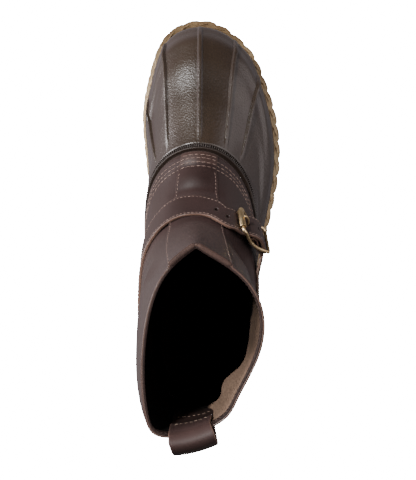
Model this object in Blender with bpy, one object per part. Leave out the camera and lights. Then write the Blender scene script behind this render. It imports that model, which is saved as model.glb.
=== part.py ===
"""Right duck boot: gum rubber sole, brown rubber bottom, leather shaft, buckled instep strap."""
import math

import bmesh
import bpy
import numpy as np

# Driving sizes in millimetres. Everything else follows from them.
SOLE_LENGTH = 300.0
BALL_WIDTH = 107.5
COLLAR_HEIGHT = 208.0
HEEL_SEAT = 27.0
BALL_SEAT = 15.0
TOE_SEAT = 24.0
TOE_SPRING = 9.0
BIG_TOE_SWELL = 2.3
LITTLE_TOE_SWELL = 2.2
BAND_HEIGHT = 11.5
ARCH_LIFT = 8.0
LUG_DEPTH = 3.5
LUG_PITCH = 11.5
GROOVE_WIDTH = 4.2
SCALLOP_COUNT = 52
SCALLOP_DEPTH = 1.6
EDGE_STEP = 3.5
RUBBER_WALL = 2.5
LEATHER_WALL = 2.0
PANEL_STEP = 1.0
FACING_STEP = 0.9
FACING_DEPTH = 11.0
FLANGE_WALL = 1.0
FLANGE_DEPTH = 12.0
BEAD_RISE = 1.4
RIB_RISE = 1.3
RIB_WIDTH = 2.4
FIT_GAP = 0.3
INSOLE_THICK = 3.0
STRAP_WIDTH = 19.5
STRAP_THICK = 2.6
SHORT_THICK = 1.9
HOLE_SIZE = 3.2
HOLE_PITCH = 9.3
WIRE = 2.5
ROLLER_SIZE = 5.0
PRONG_SIZE = 2.0
LOOP_WIDTH = 30.0
LOOP_THICK = 1.7
LOOP_RISE = 13.0
LOOP_BULGE = 10.5

# The ring table counts the sole in 300 steps along, 107.5 across and 208 up.
ALONG = SOLE_LENGTH / 300.0
ACROSS = BALL_WIDTH / 107.5
UP = COLLAR_HEIGHT / 208.0
HEEL_SPOT = 40.0 * ALONG
MM = 0.001

NAME = "duck_boot"

# One row per ring of the boot's outer skin, from the sole up to the collar.
# l and m columns are half widths on the outer and inner side at that angle
# round the ring, where 0 is the toe and 180 is the heel. follow is how much of the
# sole's own height and of its swell at the toe joints is added; reach is how far
# back the front height fades.
ANGLES = (20, 45, 75, 105, 135, 160)
COLUMNS = (
    "back", "front", "mid_back", "mid_front", "slant",
    "l20", "l45", "l75", "l105", "l135", "l160",
    "m20", "m45", "m75", "m105", "m135", "m160",
    "follow", "z_back", "z_side", "z_front", "reach",
)
RINGS = (
    ("feather", 7.0, 292.5, 2.0, 0.5, 0.0,
     23.5, 45.0, 55.5, 41.0, 36.5, 24.5,
     21.5, 35.0, 36.8, 29.5, 32.0, 20.5,
     1.0, 0.45, 0.45, 0.45, 40.0),
    ("bulge", 4.0, 293.5, 2.0, 0.5, 0.0,
     24.5, 46.2, 57.0, 43.5, 39.0, 26.5,
     22.5, 36.2, 38.7, 33.0, 35.0, 22.0,
     1.0, 11.0, 12.0, 10.0, 40.0),
    ("knuckle", 3.0, 287.5, 2.0, 0.5, 0.0,
     24.5, 45.3, 54.8, 43.5, 39.0, 25.5,
     22.5, 35.3, 38.5, 36.5, 36.2, 21.5,
     0.6, 31.0, 29.5, 30.5, 60.0),
    ("toe_top", 4.0, 268.0, 2.0, 0.5, 0.0,
     23.5, 42.5, 49.5, 42.5, 38.5, 25.0,
     21.5, 34.0, 38.5, 37.5, 36.2, 21.5,
     0.3, 46.0, 41.0, 51.0, 75.0),
    ("vamp", 5.5, 240.0, 2.0, 0.3, 0.0,
     22.0, 40.0, 44.8, 41.3, 38.0, 24.5,
     20.5, 34.5, 39.0, 38.0, 36.2, 21.5,
     0.0, 58.0, 50.0, 65.5, 70.0),
    ("bead", 6.5, 201.4, 2.0, 0.0, 0.0,
     20.5, 38.3, 43.3, 40.3, 37.0, 23.5,
     21.0, 37.3, 40.0, 38.5, 36.0, 21.5,
     0.0, 63.0, 57.0, 81.0, 46.0),
    ("leather_edge", 7.0, 195.2, 2.0, -0.5, 0.0,
     18.5, 36.0, 42.6, 40.2, 36.5, 23.0,
     20.7, 36.8, 40.0, 38.6, 36.2, 21.3,
     0.0, 69.0, 62.5, 84.5, 46.0),
    ("instep_low", 8.5, 180.0, 1.5, -0.5, 0.0,
     18.5, 35.5, 42.5, 40.3, 35.5, 22.5,
     20.0, 36.5, 40.5, 39.5, 36.7, 21.3,
     0.0, 78.0, 71.5, 91.5, 46.0),
    ("strap_low", 9.8, 161.7, 1.0, -1.0, 0.0,
     17.5, 33.4, 41.6, 40.0, 34.2, 21.3,
     18.5, 35.0, 40.6, 39.6, 36.6, 22.0,
     0.0, 92.0, 87.0, 104.0, 48.0),
    ("strap_high", 9.8, 146.4, 0.0, -1.0, 0.05,
     15.5, 32.0, 41.2, 39.6, 33.5, 20.5,
     16.5, 34.5, 41.2, 41.6, 38.8, 24.5,
     0.0, 110.0, 106.0, 117.5, 52.0),
    ("ankle", 9.0, 138.0, -1.0, -1.0, 0.1,
     13.5, 31.5, 39.4, 37.2, 30.9, 18.6,
     14.5, 33.0, 41.8, 43.9, 41.4, 26.9,
     0.0, 127.0, 126.0, 131.0, 55.0),
    ("shaft", 6.5, 132.3, -2.5, -1.0, 0.16,
     10.5, 30.2, 39.9, 37.2, 27.8, 16.5,
     12.0, 30.0, 40.3, 43.4, 40.6, 27.5,
     0.0, 150.0, 150.0, 151.0, 55.0),
    ("upper_shaft", 4.5, 129.2, -3.8, -1.0, 0.21,
     8.0, 28.4, 41.6, 39.2, 27.4, 16.0,
     9.7, 26.0, 37.4, 40.8, 38.4, 26.8,
     0.0, 179.0, 179.0, 179.0, 55.0),
    ("collar", 2.5, 127.0, -5.0, -1.0, 0.25,
     5.8, 27.2, 42.8, 40.2, 26.8, 15.8,
     7.7, 22.8, 34.4, 37.7, 35.0, 25.6,
     0.0, 208.0, 208.0, 208.0, 55.0),
)
SOLE_ROW = (0.0, 300.0, 2.0, 1.0, 0.0,
            25.0, 50.2, 62.6, 47.8, 42.5, 26.5,
            23.8, 39.2, 41.4, 33.8, 37.0, 22.5,
            1.0, 0.0, 0.0, 0.0, 40.0)

# Where the five ribs start at the bead and run to at the toe, in table steps.
RIBS = (
    ("centre", 0.0, 201.0, 0.4, 293.0),
    ("inner_out", 19.8, 198.5, 27.5, 283.0),
    ("outer_out", 30.8, 186.7, 46.5, 262.0),
    ("inner_in", -23.7, 196.3, -26.6, 283.0),
    ("outer_in", -32.5, 185.2, -41.0, 250.0),
)
# Half width of the raised front panel on the inner and outer side at each ring.
PANEL = (
    ("leather_edge", -12.6, 13.4),
    ("instep_low", -15.6, 12.6),
    ("strap_low", -18.3, 14.3),
    ("strap_high", -20.6, 16.6),
    ("ankle", -21.8, 18.6),
    ("shaft", -21.4, 20.2),
    ("upper_shaft", -20.4, 21.6),
    ("collar", -19.4, 22.8),
)


def smooth(x):
    x = np.clip(x, 0.0, 1.0)
    return x * x * (3.0 - 2.0 * x)


def seat(s):
    """Height of the sole's top edge at s along the sole."""
    heel_to_ball = HEEL_SEAT + (BALL_SEAT - HEEL_SEAT) * smooth((s / ALONG - 62.0) / 100.0)
    toe = (TOE_SEAT - BALL_SEAT) * np.clip((s / ALONG - 222.0) / 78.0, 0.0, 1.0) ** 1.8
    return heel_to_ball + toe


def ground(s):
    """Height of the tread's lowest face: heel and forefoot lie on the floor."""
    t = s / ALONG
    toe = TOE_SPRING * np.clip((t - 232.0) / 68.0, 0.0, 1.0) ** 1.8
    return toe


def spline_basis(count):
    """Weights that turn the 14 named widths of a ring into a smooth closed ring."""
    knots = [0.0] + [math.radians(a) for a in ANGLES] + [math.pi]
    knots = knots + [2.0 * math.pi - math.radians(a) for a in reversed(ANGLES)]
    n = len(knots)
    knots.append(2.0 * math.pi)
    h = np.diff(np.array(knots))
    system = np.zeros((n, n))
    right = np.zeros((n, n))
    for i in range(n):
        before = h[i - 1]
        after = h[i]
        system[i, i - 1] += before
        system[i, i] += 2.0 * (before + after)
        system[i, (i + 1) % n] += after
        right[i, (i + 1) % n] += 6.0 / after
        right[i, i] -= 6.0 / after + 6.0 / before
        right[i, i - 1] += 6.0 / before
    second = np.linalg.solve(system, right)
    theta = np.linspace(0.0, 2.0 * math.pi, count + 1)
    out = np.zeros((count + 1, n))
    for k, value in enumerate(theta):
        i = min(int(np.searchsorted(knots, value, side="right")) - 1, n - 1)
        j = (i + 1) % n
        a = (knots[i + 1] - value) / h[i]
        b = (value - knots[i]) / h[i]
        out[k, i] += a
        out[k, j] += b
        out[k] += (a ** 3 - a) * h[i] ** 2 / 6.0 * second[i]
        out[k] += (b ** 3 - b) * h[i] ** 2 / 6.0 * second[j]
    return theta, out


DENSE = 720
THETA, BASIS = spline_basis(DENSE)
TABLE = np.array([row[1:] for row in RINGS])
NAMES = [row[0] for row in RINGS]


def knot_distances():
    """Ring positions up the boot, as distances averaged over front, side and back."""
    out = [0.0]
    c = COLUMNS
    for a, b in zip(TABLE[:-1], TABLE[1:]):
        front = math.hypot(b[c.index("front")] - a[c.index("front")],
                           b[c.index("z_front")] - a[c.index("z_front")])
        side = abs(b[c.index("z_side")] - a[c.index("z_side")])
        out.append(out[-1] + 0.5 * (front + side))
    return np.array(out) / out[-1]


KNOTS = knot_distances()
RING_Q = dict(zip(NAMES, KNOTS))


def row_at(q):
    """Table row at any height q between 0 and 1, by a smooth curve through the rows."""
    q = min(max(q, 0.0), 1.0)
    i = min(int(np.searchsorted(KNOTS, q, side="right")) - 1, len(KNOTS) - 2)
    h = KNOTS[i + 1] - KNOTS[i]
    t = (q - KNOTS[i]) / h
    step = (TABLE[i + 1] - TABLE[i]) / h
    if i > 0:
        last = (TABLE[i] - TABLE[i - 1]) / (KNOTS[i] - KNOTS[i - 1])
        slope_a = (last * h + step * (KNOTS[i] - KNOTS[i - 1])) / (h + KNOTS[i] - KNOTS[i - 1])
    else:
        slope_a = step
    if i < len(KNOTS) - 2:
        after = (TABLE[i + 2] - TABLE[i + 1]) / (KNOTS[i + 2] - KNOTS[i + 1])
        wide = KNOTS[i + 2] - KNOTS[i + 1]
        slope_b = (step * wide + after * h) / (h + wide)
    else:
        slope_b = step
    t2 = t * t
    t3 = t2 * t
    return ((2 * t3 - 3 * t2 + 1) * TABLE[i] + (t3 - 2 * t2 + t) * h * slope_a
            + (3 * t2 - 2 * t3) * TABLE[i + 1] + (t3 - t2) * h * slope_b)


def ring_points(row):
    """Dense closed ring from one table row, with each point's share of the way round."""
    v = dict(zip(COLUMNS, row))
    widths = [v["mid_front"]] + [v["l%d" % a] for a in ANGLES] + [v["mid_back"]]
    widths = widths + [-v["m%d" % a] for a in reversed(ANGLES)]
    u = BASIS @ np.array(widths)
    big = np.exp(-((THETA - math.radians(302.0)) / 0.2) ** 2)
    little = np.exp(-((THETA - math.radians(33.0)) / 0.16) ** 2)
    u = u + v["follow"] * (LITTLE_TOE_SWELL * little - BIG_TOE_SWELL * big)
    t = 0.5 * (1.0 + np.cos(THETA))
    s = v["back"] + (v["front"] - v["back"]) * t
    s = s + v["slant"] * (u - v["mid_back"]) * (1.0 - t) ** 1.5
    front = np.clip((v["front"] - s) / v["reach"], 0.0, 1.0)
    back = np.clip((s - v["back"]) / 95.0, 0.0, 1.0)
    z = v["z_side"] + (v["z_front"] - v["z_side"]) * (1.0 - front) ** 2
    z = z + (v["z_back"] - v["z_side"]) * (1.0 - back) ** 2
    points = np.stack([u * ACROSS, s * ALONG, z * UP + v["follow"] * seat(s * ALONG)], axis=1)
    length = np.concatenate([[0.0], np.cumsum(np.linalg.norm(np.diff(points, axis=0), axis=1))])
    half = DENSE // 2
    share = np.empty(DENSE + 1)
    share[:half + 1] = 0.5 * length[:half + 1] / length[half]
    share[half:] = 0.5 + 0.5 * (length[half:] - length[half]) / (length[-1] - length[half])
    return share, points, length[-1]


RING_STORE = {}


def ring(q):
    key = round(q, 7)
    if key not in RING_STORE:
        RING_STORE[key] = ring_points(row_at(q))
    return RING_STORE[key]


def skin(p, q):
    """Points of the outer skin at shares p round the ring q."""
    share, points, _ = ring(q)
    p = np.mod(p, 1.0)
    return np.stack([np.interp(p, share, points[:, k]) for k in range(3)], axis=1)


def normals(p, q):
    """Outward directions of the skin at shares p of ring q."""
    step = 0.004
    low = max(q - step, 0.0)
    high = min(q + step, 1.0)
    up = skin(p, high) - skin(p, low)
    around = skin(p + 0.004, q) - skin(p - 0.004, q)
    n = np.cross(up, around)
    n /= np.linalg.norm(n, axis=1)[:, None]
    centre = np.array([0.0, 120.0 * ALONG, 0.0])
    if np.mean(n[:, 0] * (skin(p, q)[:, 0] - centre[0])) < 0.0:
        n = -n
    return n


def place(points):
    """Table frame to the part's frame: toe towards -Y, outer side towards -X, metres."""
    p = np.atleast_2d(points)
    return np.stack([-p[:, 0], HEEL_SPOT - p[:, 1], p[:, 2]], axis=1) * MM


def crossing(q, line, outer):
    """Share of ring q where a plan line from the bead to the toe crosses it."""
    share, points, _ = ring(q)
    u0, s0, u1, s1 = [a * b for a, b in zip(line, (ACROSS, ALONG, ACROSS, ALONG))]
    side = (points[:, 0] - u0) * (s1 - s0) - (points[:, 1] - s0) * (u1 - u0)
    window = share < 0.25 if outer else share > 0.75
    index = np.nonzero(window[:-1] & window[1:] & (side[:-1] * side[1:] <= 0.0))[0]
    if len(index) == 0:
        return 0.1 if outer else 0.9
    i = index[0] if outer else index[-1]
    f = side[i] / (side[i] - side[i + 1])
    return share[i] + f * (share[i + 1] - share[i])


def level(q, width, outer):
    """Share of ring q where its distance from the middle line reaches width."""
    share, points, _ = ring(q)
    half = DENSE // 2
    if outer:
        return float(np.interp(width * ACROSS, points[:half // 2, 0], share[:half // 2]))
    back = points[DENSE - half // 2:, 0][::-1]
    return float(np.interp(-width * ACROSS, -back, share[DENSE - half // 2:][::-1]))


def fill(start, end, count):
    return list(np.linspace(start, end, count + 1)[1:-1])


def round_fill(start, end, count):
    """Inner positions between two shares, closer together towards both ends."""
    t = np.linspace(0.0, 1.0, count + 1)[1:-1]
    t = t - 0.06 * np.sin(2.0 * math.pi * t)
    return list(start + (end - start) * t)


def panel_edges(q):
    """Shares where the front panel's two seams cross ring q."""
    keys = [RING_Q[r[0]] for r in PANEL]
    inner = np.interp(q, keys, [r[1] for r in PANEL])
    outer = np.interp(q, keys, [r[2] for r in PANEL])
    return level(q, outer, True), level(q, inner, False)


def rubber_columns(q):
    """Shares of the columns on ring q: four to each rib and two where a panel seam starts."""
    _, _, length = ring(q)
    foot = 0.5 * (RIB_WIDTH + 1.6) / length
    crest = 0.5 * RIB_WIDTH / length * 0.8
    step = 0.25 / length
    right, left = panel_edges(RING_Q["leather_edge"])
    spans = {r[0]: crossing(q, r[1:], not r[0].endswith("_in")) for r in RIBS if r[0] != "centre"}
    a1 = max(spans["inner_out"], right + step + 2.0 * foot)
    a2 = max(spans["outer_out"], a1 + 3.0 * foot)
    b1 = min(spans["inner_in"], left - step - 2.0 * foot)
    b2 = min(spans["outer_in"], b1 - 3.0 * foot)
    rib = ((-foot, 0), (-crest, 1), (crest, 1), (foot, 0))
    cols = [(d, top) for d, top in rib]
    cols += [(right - step, 0), (right + step, 0)]
    cols += [(a1 + d, top) for d, top in rib]
    cols += [(p, 0) for p in fill(a1 + foot, a2 - foot, 3)]
    cols += [(a2 + d, top) for d, top in rib]
    cols += [(p, 0) for p in round_fill(a2 + foot, 0.5, 15)] + [(0.5, 0)]
    cols += [(p, 0) for p in round_fill(0.5, b2 - foot, 15)]
    cols += [(b2 + d, top) for d, top in rib]
    cols += [(p, 0) for p in fill(b2 + foot, b1 - foot, 3)]
    cols += [(b1 + d, top) for d, top in rib]
    cols += [(left - step, 0), (left + step, 0)]
    return np.array([c[0] for c in cols]), np.array([c[1] for c in cols])


def leather_columns(q):
    """The bead's columns carried up the shaft, with the two seam pairs on the panel's edges."""
    base, _ = rubber_columns(RING_Q["bead"])
    right0, left0 = panel_edges(RING_Q["leather_edge"])
    right, left = panel_edges(q)
    step = 0.25 / ring(q)[2]
    step0 = 0.25 / ring(RING_Q["bead"])[2]
    known = [-(1.0 - left0) + step0, right0 - step0, right0 + step0, 0.5, left0 - step0, left0 + step0]
    wanted = [-(1.0 - left) + step, right - step, right + step, 0.5, left - step, left + step]
    cols = np.interp(base, known, wanted)
    raised = ((base < right0) | (base > left0)).astype(float)
    return cols, raised


def loft(loops, cap=False):
    """Skin between closed loops of equal length; caps the ends or joins last to first.
    Each cell is split from its lower left to its upper right corner, so the faces of
    two parallel skins stay parallel."""
    n = len(loops[0])
    verts = np.concatenate(loops)
    faces = []
    count = len(loops)
    for k in range(count if not cap else count - 1):
        a = k * n
        b = ((k + 1) % count) * n
        rising = np.mean(loops[(k + 1) % count][:, 2]) >= np.mean(loops[k][:, 2])
        for i in range(n):
            j = (i + 1) % n
            if rising:
                faces.append((a + i, a + j, b + j))
                faces.append((a + i, b + j, b + i))
            else:
                faces.append((a + i, a + j, b + i))
                faces.append((a + j, b + j, b + i))
    if cap:
        faces.append(tuple(range(n)))
        faces.append(tuple((count - 1) * n + i for i in reversed(range(n))))
    return verts, faces


def material(name, colour, roughness, metallic=0.0):
    m = bpy.data.materials.new(name)
    m.use_nodes = True
    shader = m.node_tree.nodes["Principled BSDF"]
    shader.inputs["Base Color"].default_value = (*colour, 1.0)
    shader.inputs["Roughness"].default_value = roughness
    shader.inputs["Metallic"].default_value = metallic
    m.diffuse_color = (*colour, 1.0)
    return m


def solid(name, verts, faces, mat, sharp=40.0):
    """New object from points in metres, faces turned outward, smooth with sharp corners."""
    mesh = bpy.data.meshes.new(name)
    mesh.from_pydata([tuple(v) for v in verts], [], faces)
    bm = bmesh.new()
    bm.from_mesh(mesh)
    bmesh.ops.recalc_face_normals(bm, faces=bm.faces)
    bm.to_mesh(mesh)
    bm.free()
    for polygon in mesh.polygons:
        polygon.use_smooth = True
    mesh.set_sharp_from_angle(angle=math.radians(sharp))
    if mat is not None:
        mesh.materials.append(mat)
    ob = bpy.data.objects.new(name, mesh)
    bpy.context.scene.collection.objects.link(ob)
    return ob


def boolean(ob, tool, operation):
    """Applies one exact Boolean and removes the tool object."""
    mod = ob.modifiers.new("cut", "BOOLEAN")
    mod.solver = "EXACT"
    mod.operation = operation
    mod.object = tool
    bpy.context.view_layer.update()
    graph = bpy.context.evaluated_depsgraph_get()
    mesh = bpy.data.meshes.new_from_object(ob.evaluated_get(graph))
    ob.modifiers.clear()
    old = ob.data
    ob.data = mesh
    bpy.data.meshes.remove(old)
    bpy.data.objects.remove(tool)
    return ob


def tidy(ob, sharp=40.0, weld=0.00002):
    """Welds doubled points left by a Boolean, triangulates and shades."""
    bm = bmesh.new()
    bm.from_mesh(ob.data)
    bmesh.ops.remove_doubles(bm, verts=bm.verts, dist=weld)
    bmesh.ops.dissolve_degenerate(bm, edges=bm.edges, dist=weld)
    bmesh.ops.delete(bm, geom=[v for v in bm.verts if not v.link_faces], context="VERTS")
    bmesh.ops.triangulate(bm, faces=bm.faces)
    bmesh.ops.recalc_face_normals(bm, faces=bm.faces)
    bm.to_mesh(ob.data)
    bm.free()
    for polygon in ob.data.polygons:
        polygon.use_smooth = True
    ob.data.set_sharp_from_angle(angle=math.radians(sharp))


def prism(outline, low, high):
    """Upright solid over a plan outline given in table steps already scaled."""
    n = len(outline)
    bottom = np.column_stack([outline, np.full(n, low)])
    top = np.column_stack([outline, np.full(n, high)])
    return loft([place(bottom), place(top)], cap=True)


def slab(profile, half=90.0 * ACROSS):
    """Solid with a side-view outline of (s, z) pairs, running right across the boot."""
    pts = np.array(profile)
    a = np.column_stack([np.full(len(pts), -half), pts])
    b = np.column_stack([np.full(len(pts), half), pts])
    return loft([place(a), place(b)], cap=True)


def sole_outline(inset, scallops):
    """Plan outline of the sole; scallops adds the lobed rim."""
    share, points, length = ring_points(np.array(SOLE_ROW))
    if scallops:
        phase = ((0.0, 1.0), (0.2, 0.3), (0.5, 0.0), (0.84, 0.2))
        p = np.array([(k + f) / SCALLOP_COUNT for k in range(SCALLOP_COUNT) for f, _ in phase])
        push = np.array([d * SCALLOP_DEPTH for _ in range(SCALLOP_COUNT) for _, d in phase])
    else:
        p = np.arange(96) / 96.0
        push = np.zeros(96)
    plan = np.stack([np.interp(p, share, points[:, k]) for k in range(2)], axis=1)
    ahead = np.stack([np.interp(np.mod(p + 0.004, 1.0), share, points[:, k]) for k in range(2)], axis=1)
    behind = np.stack([np.interp(np.mod(p - 0.004, 1.0), share, points[:, k]) for k in range(2)], axis=1)
    along = ahead - behind
    along /= np.linalg.norm(along, axis=1)[:, None]
    inward = np.stack([along[:, 1], -along[:, 0]], axis=1)
    middle = np.array([0.0, 150.0 * ALONG])
    if np.mean(np.sum(inward * (plan - middle), axis=1)) > 0.0:
        inward = -inward
    return plan + inward * (inset + push)[:, None]


def build_outsole(mat):
    """Scalloped band and lugged tread joined into one gum rubber sole."""
    stations = np.linspace(-12.0, 312.0, 28) * ALONG
    top = [(s, float(seat(s))) for s in stations]
    low = [(s, float(seat(s)) - BAND_HEIGHT) for s in reversed(stations)]
    band = solid("outsole", *prism(sole_outline(0.0, True), -20.0, 60.0), None)
    boolean(band, solid("band_slab", *slab(top + low), None), "INTERSECT")
    breast = 86.0 * ALONG
    arch_end = 148.0 * ALONG
    tread_top = [(s, float(seat(s)) - BAND_HEIGHT + 2.0) for s in stations]
    fore = [s for s in reversed(stations) if s > arch_end + 2.0]
    tread_low = [(s, float(ground(s))) for s in fore]
    tread_low += [(arch_end, 0.0), (124.0 * ALONG, ARCH_LIFT * 0.62), (104.0 * ALONG, ARCH_LIFT)]
    tread_low += [(breast + 1.5, ARCH_LIFT + 1.0), (breast, 0.0), (7.0 * ALONG, 0.0), (-12.0 * ALONG, 7.0)]
    tread = solid("tread", *prism(sole_outline(EDGE_STEP, False), -20.0, 60.0), None)
    boolean(tread, solid("tread_slab", *slab(tread_top + tread_low), None), "INTERSECT")
    verts = []
    faces = []
    rows = [14.0 * ALONG + LUG_PITCH * k for k in range(6)]
    start = 158.0 * ALONG
    rows += [start + LUG_PITCH * k for k in range(int((286.0 * ALONG - start) / LUG_PITCH) + 1)]
    for s in rows:
        if 80.0 * ALONG < s < 150.0 * ALONG:
            continue
        turns = 8
        u = np.linspace(-80.0, 80.0, turns + 1) * ACROSS
        zig = s + 0.36 * LUG_PITCH * np.where(np.arange(turns + 1) % 2 == 0, -1.0, 1.0)
        z_low = -3.0
        z_high = float(ground(s)) + LUG_DEPTH
        near = np.stack([u, zig - 0.5 * GROOVE_WIDTH, np.full(turns + 1, z_low)], axis=1)
        far = np.stack([u, zig + 0.5 * GROOVE_WIDTH, np.full(turns + 1, z_low)], axis=1)
        near_up = near + np.array([0.0, 0.5, z_high - z_low])
        far_up = far + np.array([0.0, -0.5, z_high - z_low])
        sections = [np.array([near[i], far[i], far_up[i], near_up[i]]) for i in range(turns + 1)]
        v, f = loft([place(x) for x in sections], cap=True)
        base = sum(len(x) for x in verts)
        verts.append(v)
        faces += [tuple(base + i for i in face) for face in f]
    grooves = solid("grooves", np.concatenate(verts), faces, None)
    boolean(tread, grooves, "DIFFERENCE")
    boolean(band, tread, "UNION")
    tidy(band, 35.0)
    band.data.materials.clear()
    band.data.materials.append(mat)
    return band


def rib_height(q):
    """How far the ribs stand out at ring q: nothing at the rim, full above the knuckle."""
    low = RING_Q["bulge"] * 1.05
    high = RING_Q["knuckle"]
    return RIB_RISE * float(smooth((q - low) / (high - low)))


def offset_loop(q, columns, offset):
    cols, _ = columns(q)
    return skin(cols, q) + normals(cols, q) * np.reshape(offset, (-1, 1))


def flange_top():
    """Ring where the rubber's inner flange ends under the leather."""
    start = RING_Q["leather_edge"]
    return start + (RING_Q["instep_low"] - start) * FLANGE_DEPTH / 13.0


def build_rubber(mat):
    """Hollow rubber shell with ribs, a bead at its top edge and a flange above it."""
    q0 = RING_Q["bead"]
    q1 = RING_Q["leather_edge"]
    width = q1 - q0
    flange = flange_top()
    k = RING_Q
    outer = [k["feather"], 0.5 * (k["feather"] + k["bulge"]), k["bulge"],
             0.5 * (k["bulge"] + k["knuckle"]), k["knuckle"],
             0.5 * (k["knuckle"] + k["toe_top"]), k["toe_top"],
             0.5 * (k["toe_top"] + k["vamp"]), k["vamp"], 0.5 * (k["vamp"] + q0), q0]
    loops = []
    for q in outer:
        cols, tops = rubber_columns(q)
        loops.append(offset_loop(q, rubber_columns, tops * rib_height(q)))
    flat = np.zeros(len(cols))
    for share, rise in ((0.07, BEAD_RISE), (0.52, BEAD_RISE), (0.6, 0.45), (0.82, 0.35)):
        loops.append(offset_loop(q0 + share * width, rubber_columns, flat + rise))
    under = -(LEATHER_WALL + FIT_GAP)
    for q in (q0 + 0.86 * width, q1, flange):
        loops.append(offset_loop(q, leather_columns, flat + under))
    for q in (flange, q0 + 0.86 * width):
        loops.append(offset_loop(q, leather_columns, flat + under - FLANGE_WALL))
    inner = [0.5 * (k["vamp"] + q0), k["vamp"], k["toe_top"], k["knuckle"], k["bulge"]]
    for q in inner:
        loops.append(offset_loop(q, rubber_columns, flat - RUBBER_WALL))
    bottom = offset_loop(k["feather"] + 0.0005, rubber_columns, flat - RUBBER_WALL)
    bottom[:, 2] = seat(bottom[:, 1]) + 0.45 * UP
    loops.append(bottom)
    verts, faces = loft(loops)
    return solid("rubber_bottom", place(verts), faces, mat, 50.0)


def build_leather(mat):
    """Hollow leather shaft with a raised front panel and a facing step at the collar."""
    k = RING_Q
    names = NAMES[NAMES.index("leather_edge"):]
    start = k["leather_edge"]
    outer = []
    for a, b in zip(names[:-1], names[1:]):
        outer.append(k[a])
        if a in ("strap_low", "strap_high", "instep_low", "shaft"):
            outer.append(0.5 * (k[a] + k[b]))
    outer[1] = flange_top()
    outer.append(1.0)
    facing = 1.0 - FACING_DEPTH / (COLLAR_HEIGHT * (1.0 - 179.0 / 208.0)) * (1.0 - k["upper_shaft"])
    loops = []
    for q in outer:
        _, raised = leather_columns(q)
        loops.append(offset_loop(q, leather_columns, raised * PANEL_STEP))
    flat = np.zeros(len(raised))
    crown = offset_loop(1.0, leather_columns, raised * PANEL_STEP - 0.5)
    crown[:, 2] += 0.5
    loops.append(crown)
    crown = offset_loop(1.0, leather_columns, flat - LEATHER_WALL - FACING_STEP + 0.4)
    crown[:, 2] += 0.5
    loops.append(crown)
    loops.append(offset_loop(1.0, leather_columns, flat - LEATHER_WALL - FACING_STEP))
    loops.append(offset_loop(facing, leather_columns, flat - LEATHER_WALL - FACING_STEP))
    loops.append(offset_loop(facing - 0.002, leather_columns, flat - LEATHER_WALL))
    inner = [k[name] for name in reversed(names[:-1]) if name != "instep_low"]
    inner = inner[:-1] + [flange_top(), inner[-1]]
    for q in inner:
        loops.append(offset_loop(q, leather_columns, flat - LEATHER_WALL))
    verts, faces = loft(loops)
    return solid("leather_upper", place(verts), faces, mat, 45.0)


def build_insole(mat):
    """Thin board on the sole, cut to the inside of the rubber shell."""
    room = RUBBER_WALL + 1.2
    row = np.array(RINGS[0][1:])
    c = COLUMNS
    row[c.index("back")] += room / ALONG
    row[c.index("front")] -= room / ALONG
    for a in ANGLES:
        row[c.index("l%d" % a)] -= room / ACROSS * (0.85 if a in (20, 160) else 1.0)
        row[c.index("m%d" % a)] -= room / ACROSS * (0.85 if a in (20, 160) else 1.0)
    _, points, _ = ring_points(row)
    half = DENSE // 2
    picks = [int(x) for x in np.linspace(0, half, 21)]
    across = np.linspace(0.0, 1.0, 5)
    top = []
    for i in picks[1:-1]:
        a = points[i]
        b = points[DENSE - i]
        line = a[None, :] * (1.0 - across[:, None]) + b[None, :] * across[:, None]
        line[:, 2] = seat(line[:, 1]) + FIT_GAP
        top.append(line)
    sections = []
    for line in top:
        up = line + np.array([0.0, 0.0, INSOLE_THICK])
        sections.append(np.concatenate([line, up[::-1]]))
    verts, faces = loft([place(x) for x in sections], cap=True)
    return solid("insole", verts, faces, mat, 45.0)


def skin_grid():
    """Points of the leather's outer skin, for finding the nearest place to a target."""
    qs = np.linspace(RING_Q["leather_edge"], 1.0, 90)
    ps = np.arange(400) / 400.0
    pts = np.array([skin(ps, q) for q in qs])
    return qs, ps, pts


GRID_Q, GRID_P, GRID = skin_grid()


def nearest(target):
    """Share and ring of the skin point closest to a target, with one finer search."""
    d = np.linalg.norm(GRID - target, axis=2)
    i, j = np.unravel_index(np.argmin(d), d.shape)
    dq = GRID_Q[1] - GRID_Q[0]
    best = (d[i, j], GRID_P[j], GRID_Q[i])
    span_p = 1.0 / 400.0
    for _ in range(3):
        qs = np.clip(best[2] + dq * np.linspace(-1.0, 1.0, 9), GRID_Q[0], 1.0)
        ps = best[1] + span_p * np.linspace(-1.0, 1.0, 9)
        for q in qs:
            dist = np.linalg.norm(skin_free(ps, q) - target, axis=1)
            m = int(np.argmin(dist))
            if dist[m] < best[0]:
                best = (dist[m], ps[m], q)
        dq /= 5.0
        span_p /= 5.0
    return best[1], best[2]


def skin_free(p, q):
    """Skin points at any ring, without keeping the ring in the store."""
    share, points, _ = ring_points(row_at(q))
    p = np.mod(p, 1.0)
    return np.stack([np.interp(p, share, points[:, k]) for k in range(3)], axis=1)


def free_normal(p, q):
    step = 0.004
    up = skin_free(np.array([p]), min(q + step, 1.0)) - skin_free(np.array([p]), max(q - step, 0.0))
    around = skin_free(np.array([p + 0.004]), q) - skin_free(np.array([p - 0.004]), q)
    n = np.cross(up, around)[0]
    n /= np.linalg.norm(n)
    here = skin_free(np.array([p]), q)[0]
    out = here - np.array([0.0, 80.0 * ALONG, here[2]])
    return n if np.dot(n, out) > 0.0 else -n


def panel_lift(p, q):
    """Height of the front panel under a strap at this place, with soft shoulders."""
    right, left = panel_edges(q)
    length = ring(q)[2]
    p = p % 1.0
    beyond = (p - right if p < 0.5 else left - p) * length
    return PANEL_STEP * (1.0 - float(smooth(beyond / 6.0)))


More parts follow.
